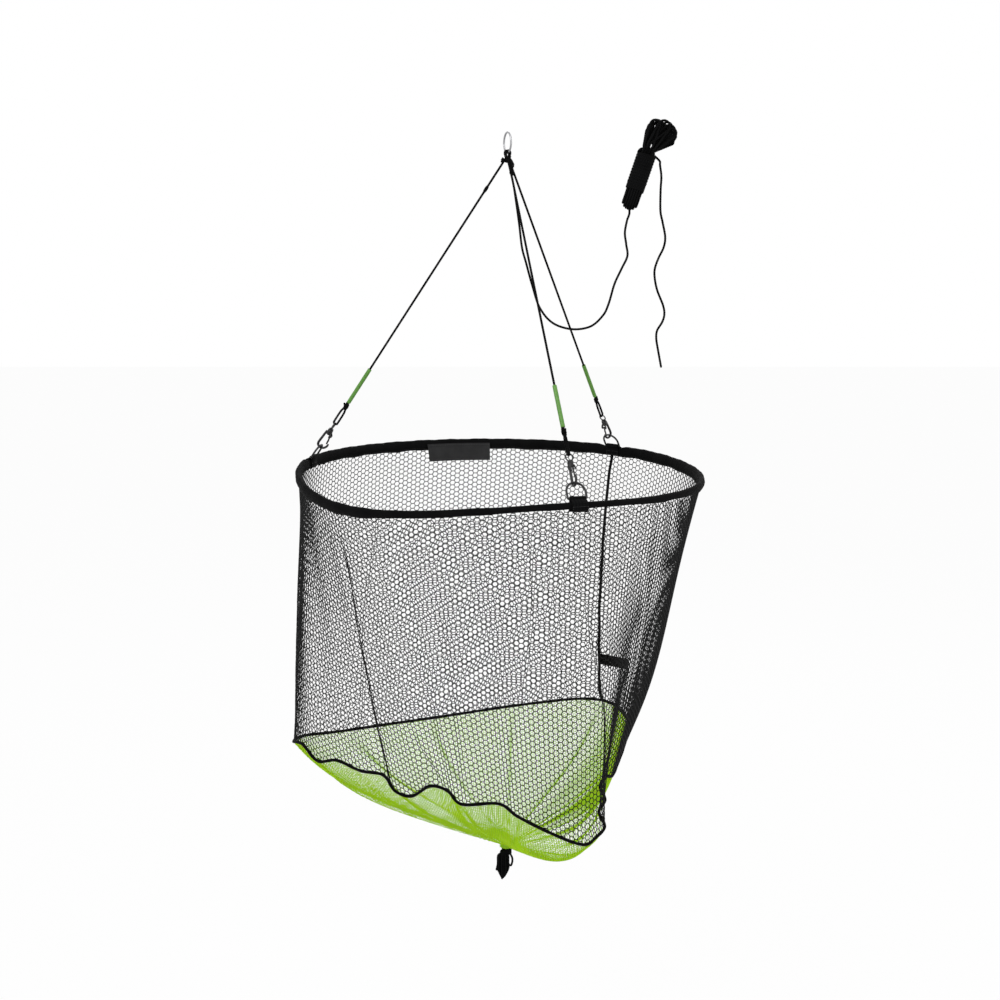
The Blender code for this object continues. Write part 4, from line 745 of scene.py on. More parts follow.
# Swivel eyes
# A wire eye on a round base. Its headed shank turns in the snap's collar, so the cord can't kink.
COLLAR_AT = Vector((0, 0, 0.0530))
EYE_WIRE = 0.00095
EYE_BASE = ((0, 8.1), (3.1, 8.1), (3.6, 8.5), (3.6, 9.2), (2.6, 9.9), (1.3, 10.3), (0, 10.3))
EYE_SHANK = ((0, -1.6), (2.1, -1.6), (2.4, -1.3), (2.4, -0.6), (2.1, -0.3), (1.6, -0.3), (1.6, 8.4), (0, 8.4))
black_metal = metal_look("black_coated_metal", (0.006, 0.006, 0.0065), 0.36, 0.35, 1.4)
eye_ring = []
for k in range(48):
    angle = math.tau * k / 48
    eye_ring.append((0, 5.0 * math.cos(angle), 14.95 + 5.25 * math.sin(angle)))
for leg in LEG_ORDER:
    parts = [swept(in_mm(eye_ring), EYE_WIRE, 12, closed=True)]
    parts += [spun(in_mm(outline), 28, closed=False) for outline in (EYE_BASE, EYE_SHANK)]
    eye_bm = placed(together(*parts), LEGS[leg] @ Matrix.Translation(COLLAR_AT))
    eye_slot, eye_node = "black_metal", leg + "_swivel_eye"
    dress(leg + "_eye_and_shank", eye_bm, leg + "_swivel", black_metal, eye_slot, eye_node, sharp=35)

# Snap hooks
# A cast hook with a turned collar. Two cheeks stand out from the collar and hold the gate's pin.
# All of it has the same black coat, rubbed a little on the hook's floor.
HOOK_LINE = (
    (-4.3, 3.0), (-4.8, -2.0), (-5.3, -9.0), (-5.9, -16.0), (-5.9, -20.5), (-4.2, -23.7),
    (-0.8, -24.9), (2.8, -24.4), (6.0, -22.2), (8.0, -18.8), (8.6, -15.6), (8.4, -13.4),
)
COLLAR = (
    (1.9, 0), (3.5, 0), (4.0, 0.4), (4.2, 0.9), (4.2, 2.2), (3.85, 2.5), (3.85, 3.0), (4.2, 3.3),
    (4.2, 4.6), (3.85, 4.9), (3.85, 5.4), (4.2, 5.7), (4.2, 6.9), (3.8, 7.5), (3.2, 7.8), (1.9, 7.8),
)
SHOULDER = ((-5.6, 2.2), (-2.2, 1.6), (-2.6, -1.4), (-4.2, -5.0), (-6.2, -5.0), (-6.2, -1.0))
CHEEK_SIDES = ((-2.6 - 1.0, -2.6), (2.6, 2.6 + 1.0))
GATE_FACES = {"left": -1, "rear": -1, "front": 1}
PIN_AT = Vector((4.6, 0, -2.7)) * MM
LUG_RADIUS = 2.1


def plate(outline, low, high, round_off):
    """A flat plate from an outline in X and Z, with its edges rounded off. Its sides lie at two Y."""
    bm = bmesh.new()
    face = bm.faces.new([bm.verts.new((x * MM, low * MM, z * MM)) for x, z in outline])
    made = bmesh.ops.extrude_face_region(bm, geom=[face])
    far = [v for v in made["geom"] if isinstance(v, bmesh.types.BMVert)]
    bmesh.ops.translate(bm, verts=far, vec=(0, (high - low) * MM, 0))
    faced_out(bm)
    rim = [e for e in bm.edges if e.calc_face_angle(0) > math.radians(40)]
    bmesh.ops.bevel(
        bm, geom=rim, offset=round_off, affect="EDGES",
        segments=2, profile=0.5, material=-1, clamp_overlap=True,
    )
    return bm


def snap_place(leg):
    """The frame of a leg's snap, with X towards its gate and Z up from the collar's lower face."""
    half_turn = Matrix.Rotation(0 if GATE_FACES[leg] > 0 else math.pi, 4, "Z")
    return LEGS[leg] @ half_turn @ Matrix.Translation(COLLAR_AT)


cheek = [(2.8, 1.5), (2.8, -2.7)] + arc((4.6, -2.7), LUG_RADIUS, 202.5, 360, 7)
cheek += [(6.7, -0.5), (4.1, 3.0), (1.8, 3.0)]
hook_line = smooth_curve(in_mm(HOOK_LINE))
hook_radii = []
for k in range(len(hook_line)):
    share = k / (len(hook_line) - 1)
    stout = 0.00172 + 0.00022 * math.sin(math.pi * min(1, share * 1.3))
    hook_radii.append(stout * (1 - 0.45 * max(0, (share - 0.9) / 0.1) ** 2))
for leg in LEG_ORDER:
    parts = [swept(hook_line, hook_radii, 14), spun(in_mm(COLLAR), 36)]
    parts += [plate(cheek, low, high, 0.00022) for low, high in CHEEK_SIDES]
    parts.append(plate(SHOULDER, -1.4, 1.4, 0.0005))
    hook_bm = placed(together(*parts), snap_place(leg))
    dress(leg + "_snap_hook", hook_bm, "net", black_metal, "black_metal", leg + "_snap_body", sharp=35)

# Snap gates
# A flat lever that turns on the pin and closes on the inside of the hook's nose. A small nub on
# its back takes the thumb.
GATE_RUN = (1.3, 12.9)
GATE_LENGTH = math.hypot(*GATE_RUN)
GATE_HEAD_RADIUS = 1.8
gate_outline = arc((0, 0), GATE_HEAD_RADIUS, -52, 232, 16)
gate_outline += [(-1.1, -6.0), (-1.1, 1.1 - GATE_LENGTH), (-0.44, -GATE_LENGTH), (0.44, -GATE_LENGTH)]
gate_outline += [(1.1, 1.1 - GATE_LENGTH), (1.15, -8.6), (1.6, -7.4), (1.55, -6.2), (1.1, -5.0)]
gate_lean = Matrix.Rotation(-math.atan2(*GATE_RUN), 4, "Y")
for leg in LEG_ORDER:
    gate_bm = plate(gate_outline, -0.8, 0.8, 0.0003)
    placed(gate_bm, snap_place(leg) @ Matrix.Translation(PIN_AT) @ gate_lean)
    gate_node = leg + "_snap_gate"
    dress(leg + "_gate_lever", gate_bm, leg + "_gate", black_metal, "black_metal", gate_node, sharp=35)

# Gate pins, gate springs, hoop rod and ferrule
# Plain steel: the pin through the cheeks, the wound spring beside the gate, and inside the sleeve
# the sprung rod with the tube that joins its ends.
plain_steel = metal_look("plain_steel", (0.42, 0.42, 0.43), 0.32, 1.0, 0.3)
steel_nodes = [leg + part for leg in LEG_ORDER for part in ("_gate_pin", "_gate_spring")]
for node_name in steel_nodes + ["hoop_rod", "hoop_ferrule"]:
    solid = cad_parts[node_name]
    solid.data.materials.clear()
    solid.data.materials.append(plain_steel)

# D-rings
# A ring of thick black wire with a straight bar. The webbing tab holds the bar, and the snap's
# hook bears in the crown.
D_BAR_AT = 0.0092
D_WIRE = 0.0015
D_CORNER_AT = 11.6
D_CORNER_RADIUS = 1.8
D_CROWN_AT = 9.2
D_CROWN_RADIUS = 13.4


def bar_lean(leg):
    """How far a leg's D-ring leans from upright on its saddle, towards the lift ring."""
    way = SADDLES[leg].to_3x3().transposed() @ (APEX - SADDLES[leg].translation)
    return math.atan2(-way.x, way.z)


d_outline = [(D_CORNER_AT * k / 4, 0) for k in range(-4, 5)]
d_outline += arc((D_CORNER_AT, D_CORNER_RADIUS), D_CORNER_RADIUS, -60, 0, 3)
d_outline += arc((0, D_CROWN_AT), D_CROWN_RADIUS, 0, 180, 28)
d_outline += arc((-D_CORNER_AT, D_CORNER_RADIUS), D_CORNER_RADIUS, 180, 240, 3)
d_line = smooth_curve(in_mm([(0, y, z) for y, z in d_outline]), 0.0010, closed=True)
for leg in LEG_ORDER:
    bar = SADDLES[leg] @ Matrix.Rotation(-bar_lean(leg), 4, "Y") @ Matrix.Translation((0, 0, D_BAR_AT))
    d_bm = placed(swept(d_line, D_WIRE, 14, closed=True), bar)
    dress(leg + "_d_wire", d_bm, leg + "_bar", black_metal, "black_metal", leg + "_d_ring")

# Webbing tabs
# A strap of black webbing folded over each D-ring's bar. Its two ends lie over the rim sleeve,
# one outside and one inside, and are sewn through it in a box.
SLEEVE_INNER = 0.0033 / math.cos(math.pi / 8)
SLEEVE_OUTER = SLEEVE_INNER + 0.0012
TAB_HALF_WIDTH = 0.0114
TAB_PLY = 0.0015
TAB_OFF = SLEEVE_OUTER + 0.0005 + TAB_PLY / 2
TAB_ROUND_BAR = D_WIRE + 0.0003 + TAB_PLY / 2
TAB_ENDS = (0, -0.0040, -0.0080)
STITCH_WIDTH = 0.0006
WEAVE_SCALE = 0.33


def webbing_look(name, dark, light, *ribs):
    """Woven tape: ribs across it on its own UV map, with a finer crossing thread and some lint."""
    made, tree, shader = blank_look(name, 0.85, Sheen_Weight=0.01, Specular_IOR_Level=0.04)
    warp, weft = [lay_wave(tree, turn, WEAVE_SCALE * rib) for turn, rib in zip((0, math.pi / 2), ribs)]
    lint = math_node(tree, "MULTIPLY", noise(tree, 700, 4), 0.4)
    height = math_node(tree, "ADD", math_node(tree, "MULTIPLY", warp, weft), lint)
    tint(tree, shader, part_of_both(tree, height, noise(tree, 40), 0.42), dark, light, 0.2, 0.85)
    bumped(tree, shader, height, 0.55, 0.0003)
    return made


def strap(line, across, normals, half_width, ply):
    """A flat strap with soft edges along a line, with its across and normal way at each point."""
    rings, along = [], [0.0]
    for k, point in enumerate(line):
        if k:
            along.append(along[-1] + (point - line[k - 1]).length / MM)
        ring = []
        for side, off in ((-1, 0), (-0.94, -1), (0.94, -1), (1, 0), (0.94, 1), (-0.94, 1)):
            ring.append(point + across[k] * (half_width * side) + normals[k] * (ply / 2 * off))
        rings.append(ring)
    return lofted(rings, along, turns=4 * half_width / MM)


def stitches(bm, points, normals, length):
    """Sewing thread that shows on a surface: one short rounded stitch at each point."""
    size = Matrix.Diagonal((length / 2, STITCH_WIDTH / 2, STITCH_WIDTH / 2.6, 1))
    for k, point in enumerate(points):
        ahead = points[k + 1] if k + 1 < len(points) else 2 * point - points[k - 1]
        made = bmesh.ops.create_icosphere(bm, subdivisions=1, radius=1)
        place = frame_of(point, ahead - point, normals[k])
        bmesh.ops.transform(bm, matrix=place @ size, verts=made["verts"])


def sewn_piece(name, bm, sewn, body, look, slot, node_name, sharp=50):
    """A finished piece of cloth or rubber with its sewing thread."""
    for face in sewn.faces:
        face.material_index = 1
    return dress(name, together(bm, sewn), body, (look, thread_look), slot, node_name, sharp=sharp)


webbing = webbing_look("black_webbing_strap", (0.0015, 0.0015, 0.0018), (0.0095, 0.0095, 0.0098), 0.6, 0.35)
thread_look, thread_tree, thread_shader = blank_look("black_sewing_thread", 0.55)
thread_wear = noise(thread_tree, 1200)
tint(thread_tree, thread_shader, thread_wear, (0.005, 0.005, 0.0055), (0.024, 0.024, 0.025), 0.3, 0.7)
for leg in LEG_ORDER:
    up = 90 + math.degrees(bar_lean(leg))
    outline = [(TAB_OFF, end) for end in TAB_ENDS[::-1]]
    outline += arc((0, 0), TAB_OFF, up / 5, up * 3 / 5, 2)
    outline += arc(at_angle(math.radians(up), D_BAR_AT), TAB_ROUND_BAR, up - 128, up + 128, 12)
    outline += arc((0, 0), TAB_OFF, up + (180 - up) * 2 / 5, up + (180 - up) * 4 / 5, 2)
    outline += [(-TAB_OFF, end) for end in TAB_ENDS]
    line = smooth_curve([Vector((x, 0, z)) for x, z in outline])
    normals = [Vector((way.z, 0, -way.x)) for way in ways_along(line)]
    tab_bm = strap(line, [Vector((0, 1, 0))] * len(line), normals, TAB_HALF_WIDTH, TAB_PLY)
    sewn = bmesh.new()
    for side in (-1, 1):
        face = side * (TAB_OFF + TAB_PLY / 2)
        rows = [[(-9.8 + 2.8 * k, height) for k in range(8)] for height in (-6.8, -0.8)]
        rows += [[(edge, -6.3 + 2.5 * k) for k in range(3)] for edge in (-10.5, 10.5)]
        for row in rows:
            points = [Vector((face, y * MM, z * MM)) for y, z in row]
            stitches(sewn, points, [Vector((side, 0, 0))] * len(row), 0.0022 if len(row) > 3 else 0.0020)
    placed(tab_bm, SADDLES[leg])
    placed(sewn, SADDLES[leg])
    sewn_piece(leg + "_tab_strap", tab_bm, sewn, "net", webbing, "black_webbing", leg + "_webbing_tab")

# Rim sleeve
# Black woven cloth sewn round the hoop, with the netting's edge caught in its seam. It puckers a
# little along the stitching, and in front it is turned under, so the band looks narrower there.
NET_THICKNESS = 0.0015
SLEEVE_STEPS = 288
SLEEVE_FULL = 9.5
SLEEVE_TAKEN_UP = 5.2
TIGHT_OUTER = 0.0040
TIGHT_INNER = 0.0032
SLIT = NET_THICKNESS / 2 + 0.0006
LIP = SLIT + 0.0012
HEM_STITCHES = 460
SLEEVE_TAILS = (
    (0, 9.5), (228, 9.5), (240, 4.8), (248, 3.9), (272, 3.9), (281, 4.3), (288, 4.8), (300, 4.0), (308, 4.6),
    (316, 5.6), (325, 4.4), (336, 5.2), (350, 9.5), (360, 9.5),
)
SLEEVE_CROWNS = (
    (0, 3.2), (208, 3.0), (220, 1.3), (232, 1.6), (244, 2.4), (262, 2.0), (272, 0.2), (312, 0.2), (325, 1.6),
    (340, 3.0), (360, 3.2),
)
SEAM_POINTS = (
    (199, 20, -402), (196, 85, -405), (186, 138, -409), (166, 175, -413), (128, 187, -415),
    (72, 176, -417), (0, 153, -419), (-90, 119, -422), (-180, 76, -421), (-254, 30, -417),
    (-299, -13, -408), (-309, -55, -402), (-290, -97, -391), (-265, -121, -408),
    (-235, -138, -401), (-200, -155, -410), (-166, -170, -411), (-148, -178, -432),
    (-124, -188, -435), (-98, -199, -416), (-73, -209, -419), (-53, -216, -436),
    (-2, -236, -427), (24, -244, -442), (62, -260, -456), (98, -270, -468), (118, -262, -475),
    (131, -253, -469), (144, -242, -458), (137, -229, -441), (146, -216, -429), (140, -203, -415),
    (149, -190, -405), (159, -172, -411), (173, -120, -407), (189, -50, -401),
)
SEAM_CORNER = {"rear": 3.4, "left": 11.3, "front": 25.6}
SEAM_STEPS = 20
DARK_CLOTH = ((0.0012, 0.0012, 0.0014), (0.0085, 0.0085, 0.0088))


def seam_point(place):
    """The lower seam's centre line at a place that counts along its list of points."""
    i = math.floor(place)
    near = in_mm([SEAM_POINTS[(i + k) % len(SEAM_POINTS)] for k in (-1, 0, 1, 2)])
    return HOOP_CENTRE + between(*near, place - i)


seam_steps = [seam_point(k / SEAM_STEPS) for k in range(len(SEAM_POINTS) * SEAM_STEPS + 1)]
seam_lengths = [0.0]
for one, other in zip(seam_steps, seam_steps[1:]):
    seam_lengths.append(seam_lengths[-1] + (other - one).length)


def seam_below(azimuth):
    """The seam point that a line of netting reaches when it leaves the hoop at an azimuth."""
    leg, after, share = leg_span(azimuth)
    start, end = [seam_lengths[round(SEAM_CORNER[name] * SEAM_STEPS)] for name in (leg, after)]
    length = (start + share * ((end - start) % seam_lengths[-1])) % seam_lengths[-1]
    k = bisect.bisect_right(seam_lengths, length) - 1
    part = (length - seam_lengths[k]) / (seam_lengths[k + 1] - seam_lengths[k])
    return seam_point((k + part) / SEAM_STEPS)


def tail_direction(azimuth):
    """The way the sleeve's tail and the netting leave the rod, square to it."""
    way = seam_below(azimuth) - hoop_point(azimuth)
    out = at_angle(azimuth, 1)
    return (out * way.dot(out) + UP * way.z).normalized()


def rim_side(azimuth):
    """Square to the tail and the rod, outwards."""
    tail = tail_direction(azimuth)
    out = at_angle(azimuth, 1)
    return (out - out.dot(tail) * tail).normalized()


def by_the_rod(azimuth, places):
    """Points beside the rod, from how far out and how far down the netting each one lies."""
    centre, side, tail = hoop_point(azimuth), rim_side(azimuth), tail_direction(azimuth)
    return [centre + side * out + tail * down for out, down in places]


def along_table(table, place, soft=True):
    """A value from a table of (place, value) pairs, straight or softly from one to the next."""
    for (low, one), (high, other) in zip(table, table[1:]):
        if place <= high:
            share = max(0, place - low) / (high - low)
            return mix((one, other), eased(share) if soft else share)
    return table[-1][1]


def degrees_from(angle, middle):
    """How far an angle lies from a middle in degrees, and on which side."""
    return (math.degrees(angle) - middle + 180) % 360 - 180


def sleeve_crown(azimuth):
    """How far the loose sleeve stands up above the rod: nowhere under a webbing tab."""
    stands = 1.0
    for leg in LEG_ORDER:
        stands *= 1 - hump(degrees_from(azimuth - LEG_AZIMUTH[leg], 0), 4.2, 4)
    return along_table(SLEEVE_CROWNS, math.degrees(azimuth)) * MM * stands


def sleeve_tail(azimuth):
    """How far the sleeve reaches down: less where it is turned under, and wavy everywhere."""
    reach = along_table(SLEEVE_TAILS, math.degrees(azimuth))
    wave = 0.0005 * math.sin(azimuth * 23 + 1) + 0.0004 * math.sin(azimuth * 41)
    return reach * MM + wave * min(1, reach / SLEEVE_FULL)


sleeve_rings = []
for k in range(SLEEVE_STEPS):
    azimuth = math.tau * k / SLEEVE_STEPS
    length, crown = sleeve_tail(azimuth), sleeve_crown(azimuth)
    tight = min(1, max(0, (SLEEVE_FULL * MM - length) / (SLEEVE_TAKEN_UP * MM)))
    puff = (0.00025 * math.sin(azimuth * 96) + 0.0003 * math.sin(azimuth * 37 + 2)) * (1 - 0.85 * tight)
    inner = mix((SLEEVE_INNER, TIGHT_INNER), tight)
    outer = mix((SLEEVE_OUTER, TIGHT_OUTER), tight)
    waist = min(LIP + 0.0016, outer) + puff
    outer += puff
    profile = [(LIP * 0.8, length), (LIP, length - 0.0006), (LIP + 0.0003 + puff, length * 0.72)]
    profile += [(waist, length * 0.5), (outer, length * 0.22)]
    for j in range(9):
        angle = math.pi * j / 8
        profile.append((outer * math.cos(angle), -(outer + crown) * math.sin(angle)))
    profile += [(-x, z) for x, z in profile[4::-1]]
    profile += [(-SLIT, length), (-SLIT, inner + 0.0002), (-inner, 0.0002)]
    for j in range(1, 6):
        angle = math.pi * j / 6
        profile.append((-inner * math.cos(angle), -(inner + crown) * math.sin(angle)))
    profile += [(inner, 0.0002), (SLIT, inner + 0.0002), (SLIT, length)]
    sleeve_rings.append(by_the_rod(azimuth, profile[::-1]))
sleeve_along = [math.tau * HOOP_RADIUS / MM * k / SLEEVE_STEPS for k in range(SLEEVE_STEPS + 1)]
sleeve_bm = faced_out(lofted(sleeve_rings, sleeve_along, turns=48, closed=True))
sewn = bmesh.new()
hem = [math.tau * k / HEM_STITCHES for k in range(HEM_STITCHES)]
for side in (1, -1):
    places = [(side * (LIP + 0.0003), sleeve_tail(azimuth) - 0.0018) for azimuth in hem]
    points = [by_the_rod(azimuth, [place])[0] for azimuth, place in zip(hem, places)]
    stitches(sewn, points, [rim_side(azimuth) * side for azimuth in hem], 0.0028)
cloth = webbing_look("black_woven_cloth", *DARK_CLOTH, 0.9, 0.9)
sewn_piece("rim_cloth", sleeve_bm, sewn, "net", cloth, "black_webbing", "rim_sleeve")

# Rim label
# A bare patch of black rubber with a raised border, sewn on the inside of the back of the rim.
RIM_LABEL_AZIMUTHS = (math.radians(93.4), math.radians(114.6))
RIM_LABEL_REACH = (0.0010, 0.0305)
RIM_LABEL_OFF = SLEEVE_OUTER + 0.0009
LABEL_THICKNESS = 0.0008


def rim_label_point(across, down, height):
    """A point of the rim label, by its shares across and down, and its height off the sleeve."""
    off = -RIM_LABEL_OFF - LABEL_THICKNESS * height
    return by_the_rod(mix(RIM_LABEL_AZIMUTHS, across), [(off, mix(RIM_LABEL_REACH, down))])[0]


rubber_look, rubber_tree, rubber_shader = blank_look("black_rubber", 0.55, Specular_IOR_Level=0.25)
dust = noise(rubber_tree, 60)
tint(rubber_tree, rubber_shader, dust, (0.003, 0.003, 0.0035), (0.010, 0.010, 0.0105), 0.35, 0.75)
bumped(rubber_tree, rubber_shader, noise(rubber_tree, 500, 5), 0.25, 0.0002)
label_bm = bmesh.new()
bmesh.ops.create_grid(label_bm, x_segments=44, y_segments=10, size=1)
field = []
for face in label_bm.faces:
    middle = face.calc_center_median()
    if abs(middle.x) < 0.94 and abs(middle.y) < 0.78:
        field.append(face)
made = bmesh.ops.extrude_face_region(faced_out(label_bm), geom=label_bm.faces[:])
for v in made["geom"]:
    if isinstance(v, bmesh.types.BMVert):
        v.co.z = -1
for v in {v for face in field for v in face.verts}:
    v.co.z -= 0.35
for v in label_bm.verts:
    v.co = rim_label_point((v.co.x + 1) / 2, (1 - v.co.y) / 2, 0.9 * (v.co.z + 1))
sewn = bmesh.new()
for down in (0.09, 0.91):
    shares = [0.02 + 0.96 * k / 35 for k in range(36)]
    points = [rim_label_point(share, down, 0.95) for share in shares]
    stitches(sewn, points, [-rim_side(mix(RIM_LABEL_AZIMUTHS, share)) for share in shares], 0.0022)
sewn_piece("rim_patch", faced_out(label_bm), sewn, "net", rubber_look, "rubber_label", "rim_label", 30)

# Wall netting
# Knotless black netting with six-sided meshes, one tube of it, hung from the hoop down to the lower
# seam in a few long folds. Two halves of the tube are made here.
MESH_COLUMNS = 240
MESH_HALF_ROW = 0.0040
WALL_STRAND = 0.00150
WALL_TOP = 0.0036
WALL_TABLE = 1440
KINKED = (310.0, 12.0)
KINK_SPAN = math.radians(5)
WALL_TAUT = (352, 48, 0.85)
WALL_BULGES = (
    (176, 16, 0.0095, 1.1), (150, 13, -0.0050, 1.0), (204, 13, -0.0040, 1.0), (356, 21, 0.0115, 2.0),
)
WALL_FOLDS = (
    (((0.08, 220), (0.32, 218), (0.44, 216), (0.82, 212.5), (1.0, 213.5)), 2.4, 0.0055, 0.70),
    (((0.72, 231), (0.86, 232.5), (1.0, 238.5)), 2.0, 0.0040, 0.62),
    (((0.20, 292), (0.28, 293), (0.38, 293.5), (0.54, 298), (0.82, 305), (1.0, 309)), 2.4, 0.0050, 0.66),
    (((0.10, 185), (0.28, 182), (0.55, 172), (0.90, 166)), 2.2, 0.0030, 0.55),
    (((0.25, 251), (0.60, 250), (0.95, 247)), 3.0, 0.0030, 0.35),
    (((0.30, 78), (0.70, 74), (1.0, 76)), 2.6, 0.0035, 0.50),
    (((0.20, 131), (0.60, 136), (1.0, 134)), 2.6, 0.0040, 0.55),
)
MESH_CORNERS = ((-1, 1), (1, 1), (2, 0), (1, -1), (-1, -1), (-2, 0))

wall_table = []
for k in range(WALL_TABLE + 1):
    azimuth = math.tau * k / WALL_TABLE
    top, seam = hoop_point(azimuth), seam_below(azimuth)
    smooth_seam = sum((seam_below(azimuth + KINK_SPAN * step / 4) for step in range(-4, 5)), Vector()) / 9
    kink = (seam - smooth_seam) * hump(math.degrees(azimuth) - KINKED[0], KINKED[1], 4)
    wall_table.append((top, seam - kink - top, rim_side(azimuth), kink))


def wall_at(azimuth, along, off=0.0):
    """A point of the netting's sheet, a distance down from the rod."""
    at = (azimuth % math.tau) / math.tau * WALL_TABLE
    k = min(int(at), WALL_TABLE - 1)
    top, run, side, kink = [a.lerp(b, at - k) for a, b in zip(wall_table[k], wall_table[k + 1])]
    share = min(1.0, along / run.length)
    return top + run * share + kink * share**8 + side * off


def wall_run(azimuth):
    """How long the netting is from the rod to the seam."""
    return wall_table[round((azimuth % math.tau) / math.tau * WALL_TABLE)][1].length


def wall_slack(azimuth, share):
    """How far the netting hangs out from a straight run, in slow waves and a few bulges."""
    middle, width, calmed = WALL_TAUT
    slack = math.sin(math.pi * share) * (1 - calmed * hump(degrees_from(azimuth, middle), width, 4))
    off = slack * (0.0022 * math.sin(5 * azimuth + 1) + 0.0016 * math.sin(9 * azimuth + 2.2))
    off += slack * 0.0009 * math.sin(23 * azimuth + 5 * share)
    for middle, width, depth, low in WALL_BULGES:
        off += depth * hump(degrees_from(azimuth, middle), width) * math.sin(math.pi * share**low)
    return off


def wall_corner(third, half_row):
    """Where a corner of the meshes lies, with the folds and the slack of the hung net."""
    azimuth = math.tau * third / (3 * MESH_COLUMNS)
    along = WALL_TOP + half_row * MESH_HALF_ROW
    share = min(1.0, along / wall_run(azimuth))
    off = wall_slack(azimuth, share)
    shift = 0.0
    for line, width, depth, gather in WALL_FOLDS:
        away = degrees_from(azimuth, along_table(line, share, soft=False))
        if abs(away) < 4 * width:
            near = hump(away, width)
            near *= max(0, min(1, (share - line[0][0]) * 7)) * min(1, (1.04 - share) * 9)
            off -= depth * near
            shift -= math.radians(gather * away) * near
    return wall_at(azimuth + shift, along, off)


def netting(cells, corner, round_trip=None):
    """Six-sided meshes that share their corners, by column and row, each column half a row off."""
    bm = bmesh.new()
    made = {}
    for i, j in cells:
        face = []
        for third, half_row in MESH_CORNERS:
            third += 3 * i
            key = (third % round_trip if round_trip else third, 2 * j + i % 2 + half_row)
            if key not in made:
                made[key] = bm.verts.new(corner(*key))
            face.append(made[key])
        bm.faces.new(face)
    bmesh.ops.remove_doubles(bm, verts=bm.verts, dist=1e-5)
    return bm


def strung(name, bm, body, look, thickness, slot, node_name):
    """Netting with its meshes' sides made into strands."""
    made = dress(name, bm, body, look, slot, node_name, sharp=180)
    strands = made.modifiers.new("strands", "WIREFRAME")
    strands.thickness = thickness
    strands.use_even_offset = False
    strands.use_boundary = True
    return made


def net_look(name, dark, light, **settings):
    """Knitted net yarn: fine filaments with lint and a soft shine."""
    made, tree, shader = blank_look(name, 0.6, Sheen_Weight=0.02, Specular_IOR_Level=0.10, **settings)
    filaments = noise(tree, 1500, 4)
    tint(tree, shader, part_of_both(tree, filaments, noise(tree, 30)), dark, light, 0.3, 0.7)
    bumped(tree, shader, filaments, 0.5, 0.0002)
    return made


black_net = net_look("black_knotless_net", (0.0015, 0.0015, 0.0018), (0.0100, 0.0100, 0.0103))
wall_cells = []
for i in range(MESH_COLUMNS):
    low = wall_run(math.tau * i / MESH_COLUMNS) - 0.0010
    for j in range(1, 64):
        if WALL_TOP + (2 * j + i % 2 - 1) * MESH_HALF_ROW > low:
            break
        wall_cells.append((i, j))
wall_width = math.pi * HOOP_RADIUS
for name, first in (("wall_net_back", 0), ("wall_net_front", MESH_COLUMNS // 2)):
    cells = [cell for cell in wall_cells if first <= cell[0] < first + MESH_COLUMNS // 2]
    bm = netting(cells, wall_corner, 3 * MESH_COLUMNS)
    net_piece = strung(name, bm, None, black_net, WALL_STRAND, "black_netting", "net_wall")
    cell_area = wall_width / (MESH_COLUMNS / 2) * 2 * MESH_HALF_ROW * len(cells)
    flat = (wall_width, cell_area / wall_width)
    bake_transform(net_piece)

# Side seam's tape
# A narrow black tape that covers the join of the netting's two edges, from the rim to the seam. It
# wavers a little as it hangs. A row of stitches runs down its middle.
TAPE_AZIMUTH = LEG_AZIMUTH["rear"] - math.radians(0.58)
TAPE_OFF = 0.0016
TAPE_HALF_WIDTH = 0.0025
TAPE_PLY = 0.0014
TAPE_TOP = 0.021
TAPE_SWAY = (
    (0.00, 7.0), (0.10, 10.0), (0.20, 10.0), (0.35, 9.0), (0.44, 6.5), (0.60, 4.5), (0.76, -1.0),
    (0.90, -7.0), (0.95, -9.0), (1.0, -17.0),
)


def tape_point(share, off=0.0):
    """A point on the tape, by its share of the wall's run."""
    azimuth = TAPE_AZIMUTH + along_table(TAPE_SWAY, share) * MM / HOOP_RADIUS
    return wall_at(azimuth, share * wall_run(azimuth), TAPE_OFF + off + wall_slack(azimuth, share))


tape_line = [tape_point(mix((TAPE_TOP, 1), k / 150)) for k in range(151)]
tape_normal = rim_side(TAPE_AZIMUTH)
across = [tape_normal.cross(way).normalized() for way in ways_along(tape_line)]
tape_bm = faced_out(strap(tape_line, across, [tape_normal] * len(tape_line), TAPE_HALF_WIDTH, TAPE_PLY))
sewn = bmesh.new()
points = [p + tape_normal * TAPE_PLY / 2 for p in smooth_curve(tape_line, 0.0034)[1:-1:2]]
stitches(sewn, points, [tape_normal] * len(points), 0.0024)
tape = sewn_piece("seam_tape", tape_bm, sewn, None, webbing, "black_webbing", "side_seam_tape")
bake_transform(tape)

# Side label
# A bare woven label with its short edge caught under the tape. It has a hemmed border.
SIDE_LABEL_SHARE = 0.835
SIDE_LABEL_SIZE = (0.052, 0.0175)
SIDE_LABEL_UNDER = 0.002
SIDE_LABEL_SWING = math.radians(15)
SIDE_LABEL_DROOP = 0.0100
label_at = tape_point(SIDE_LABEL_SHARE, 0.0018)
label_up = (tape_point(SIDE_LABEL_SHARE - 0.05) - tape_point(SIDE_LABEL_SHARE)).normalized()
label_across = -tape_normal.cross(label_up).normalized()
if label_across.x < 0:
    label_across = -label_across
label_across = Matrix.Rotation(SIDE_LABEL_SWING, 3, "Z") @ label_across
label_out = label_across.cross(label_up)
if label_out.dot(tape_normal) < 0:
    label_out = -label_out
label_bm = bmesh.new()
bmesh.ops.create_grid(label_bm, x_segments=36, y_segments=12, size=1)
lay = label_bm.loops.layers.uv.new("lay")
for face in label_bm.faces:
    for loop in face.loops:
        loop[lay].uv = (loop.vert.co.x * 24, loop.vert.co.y * 7)
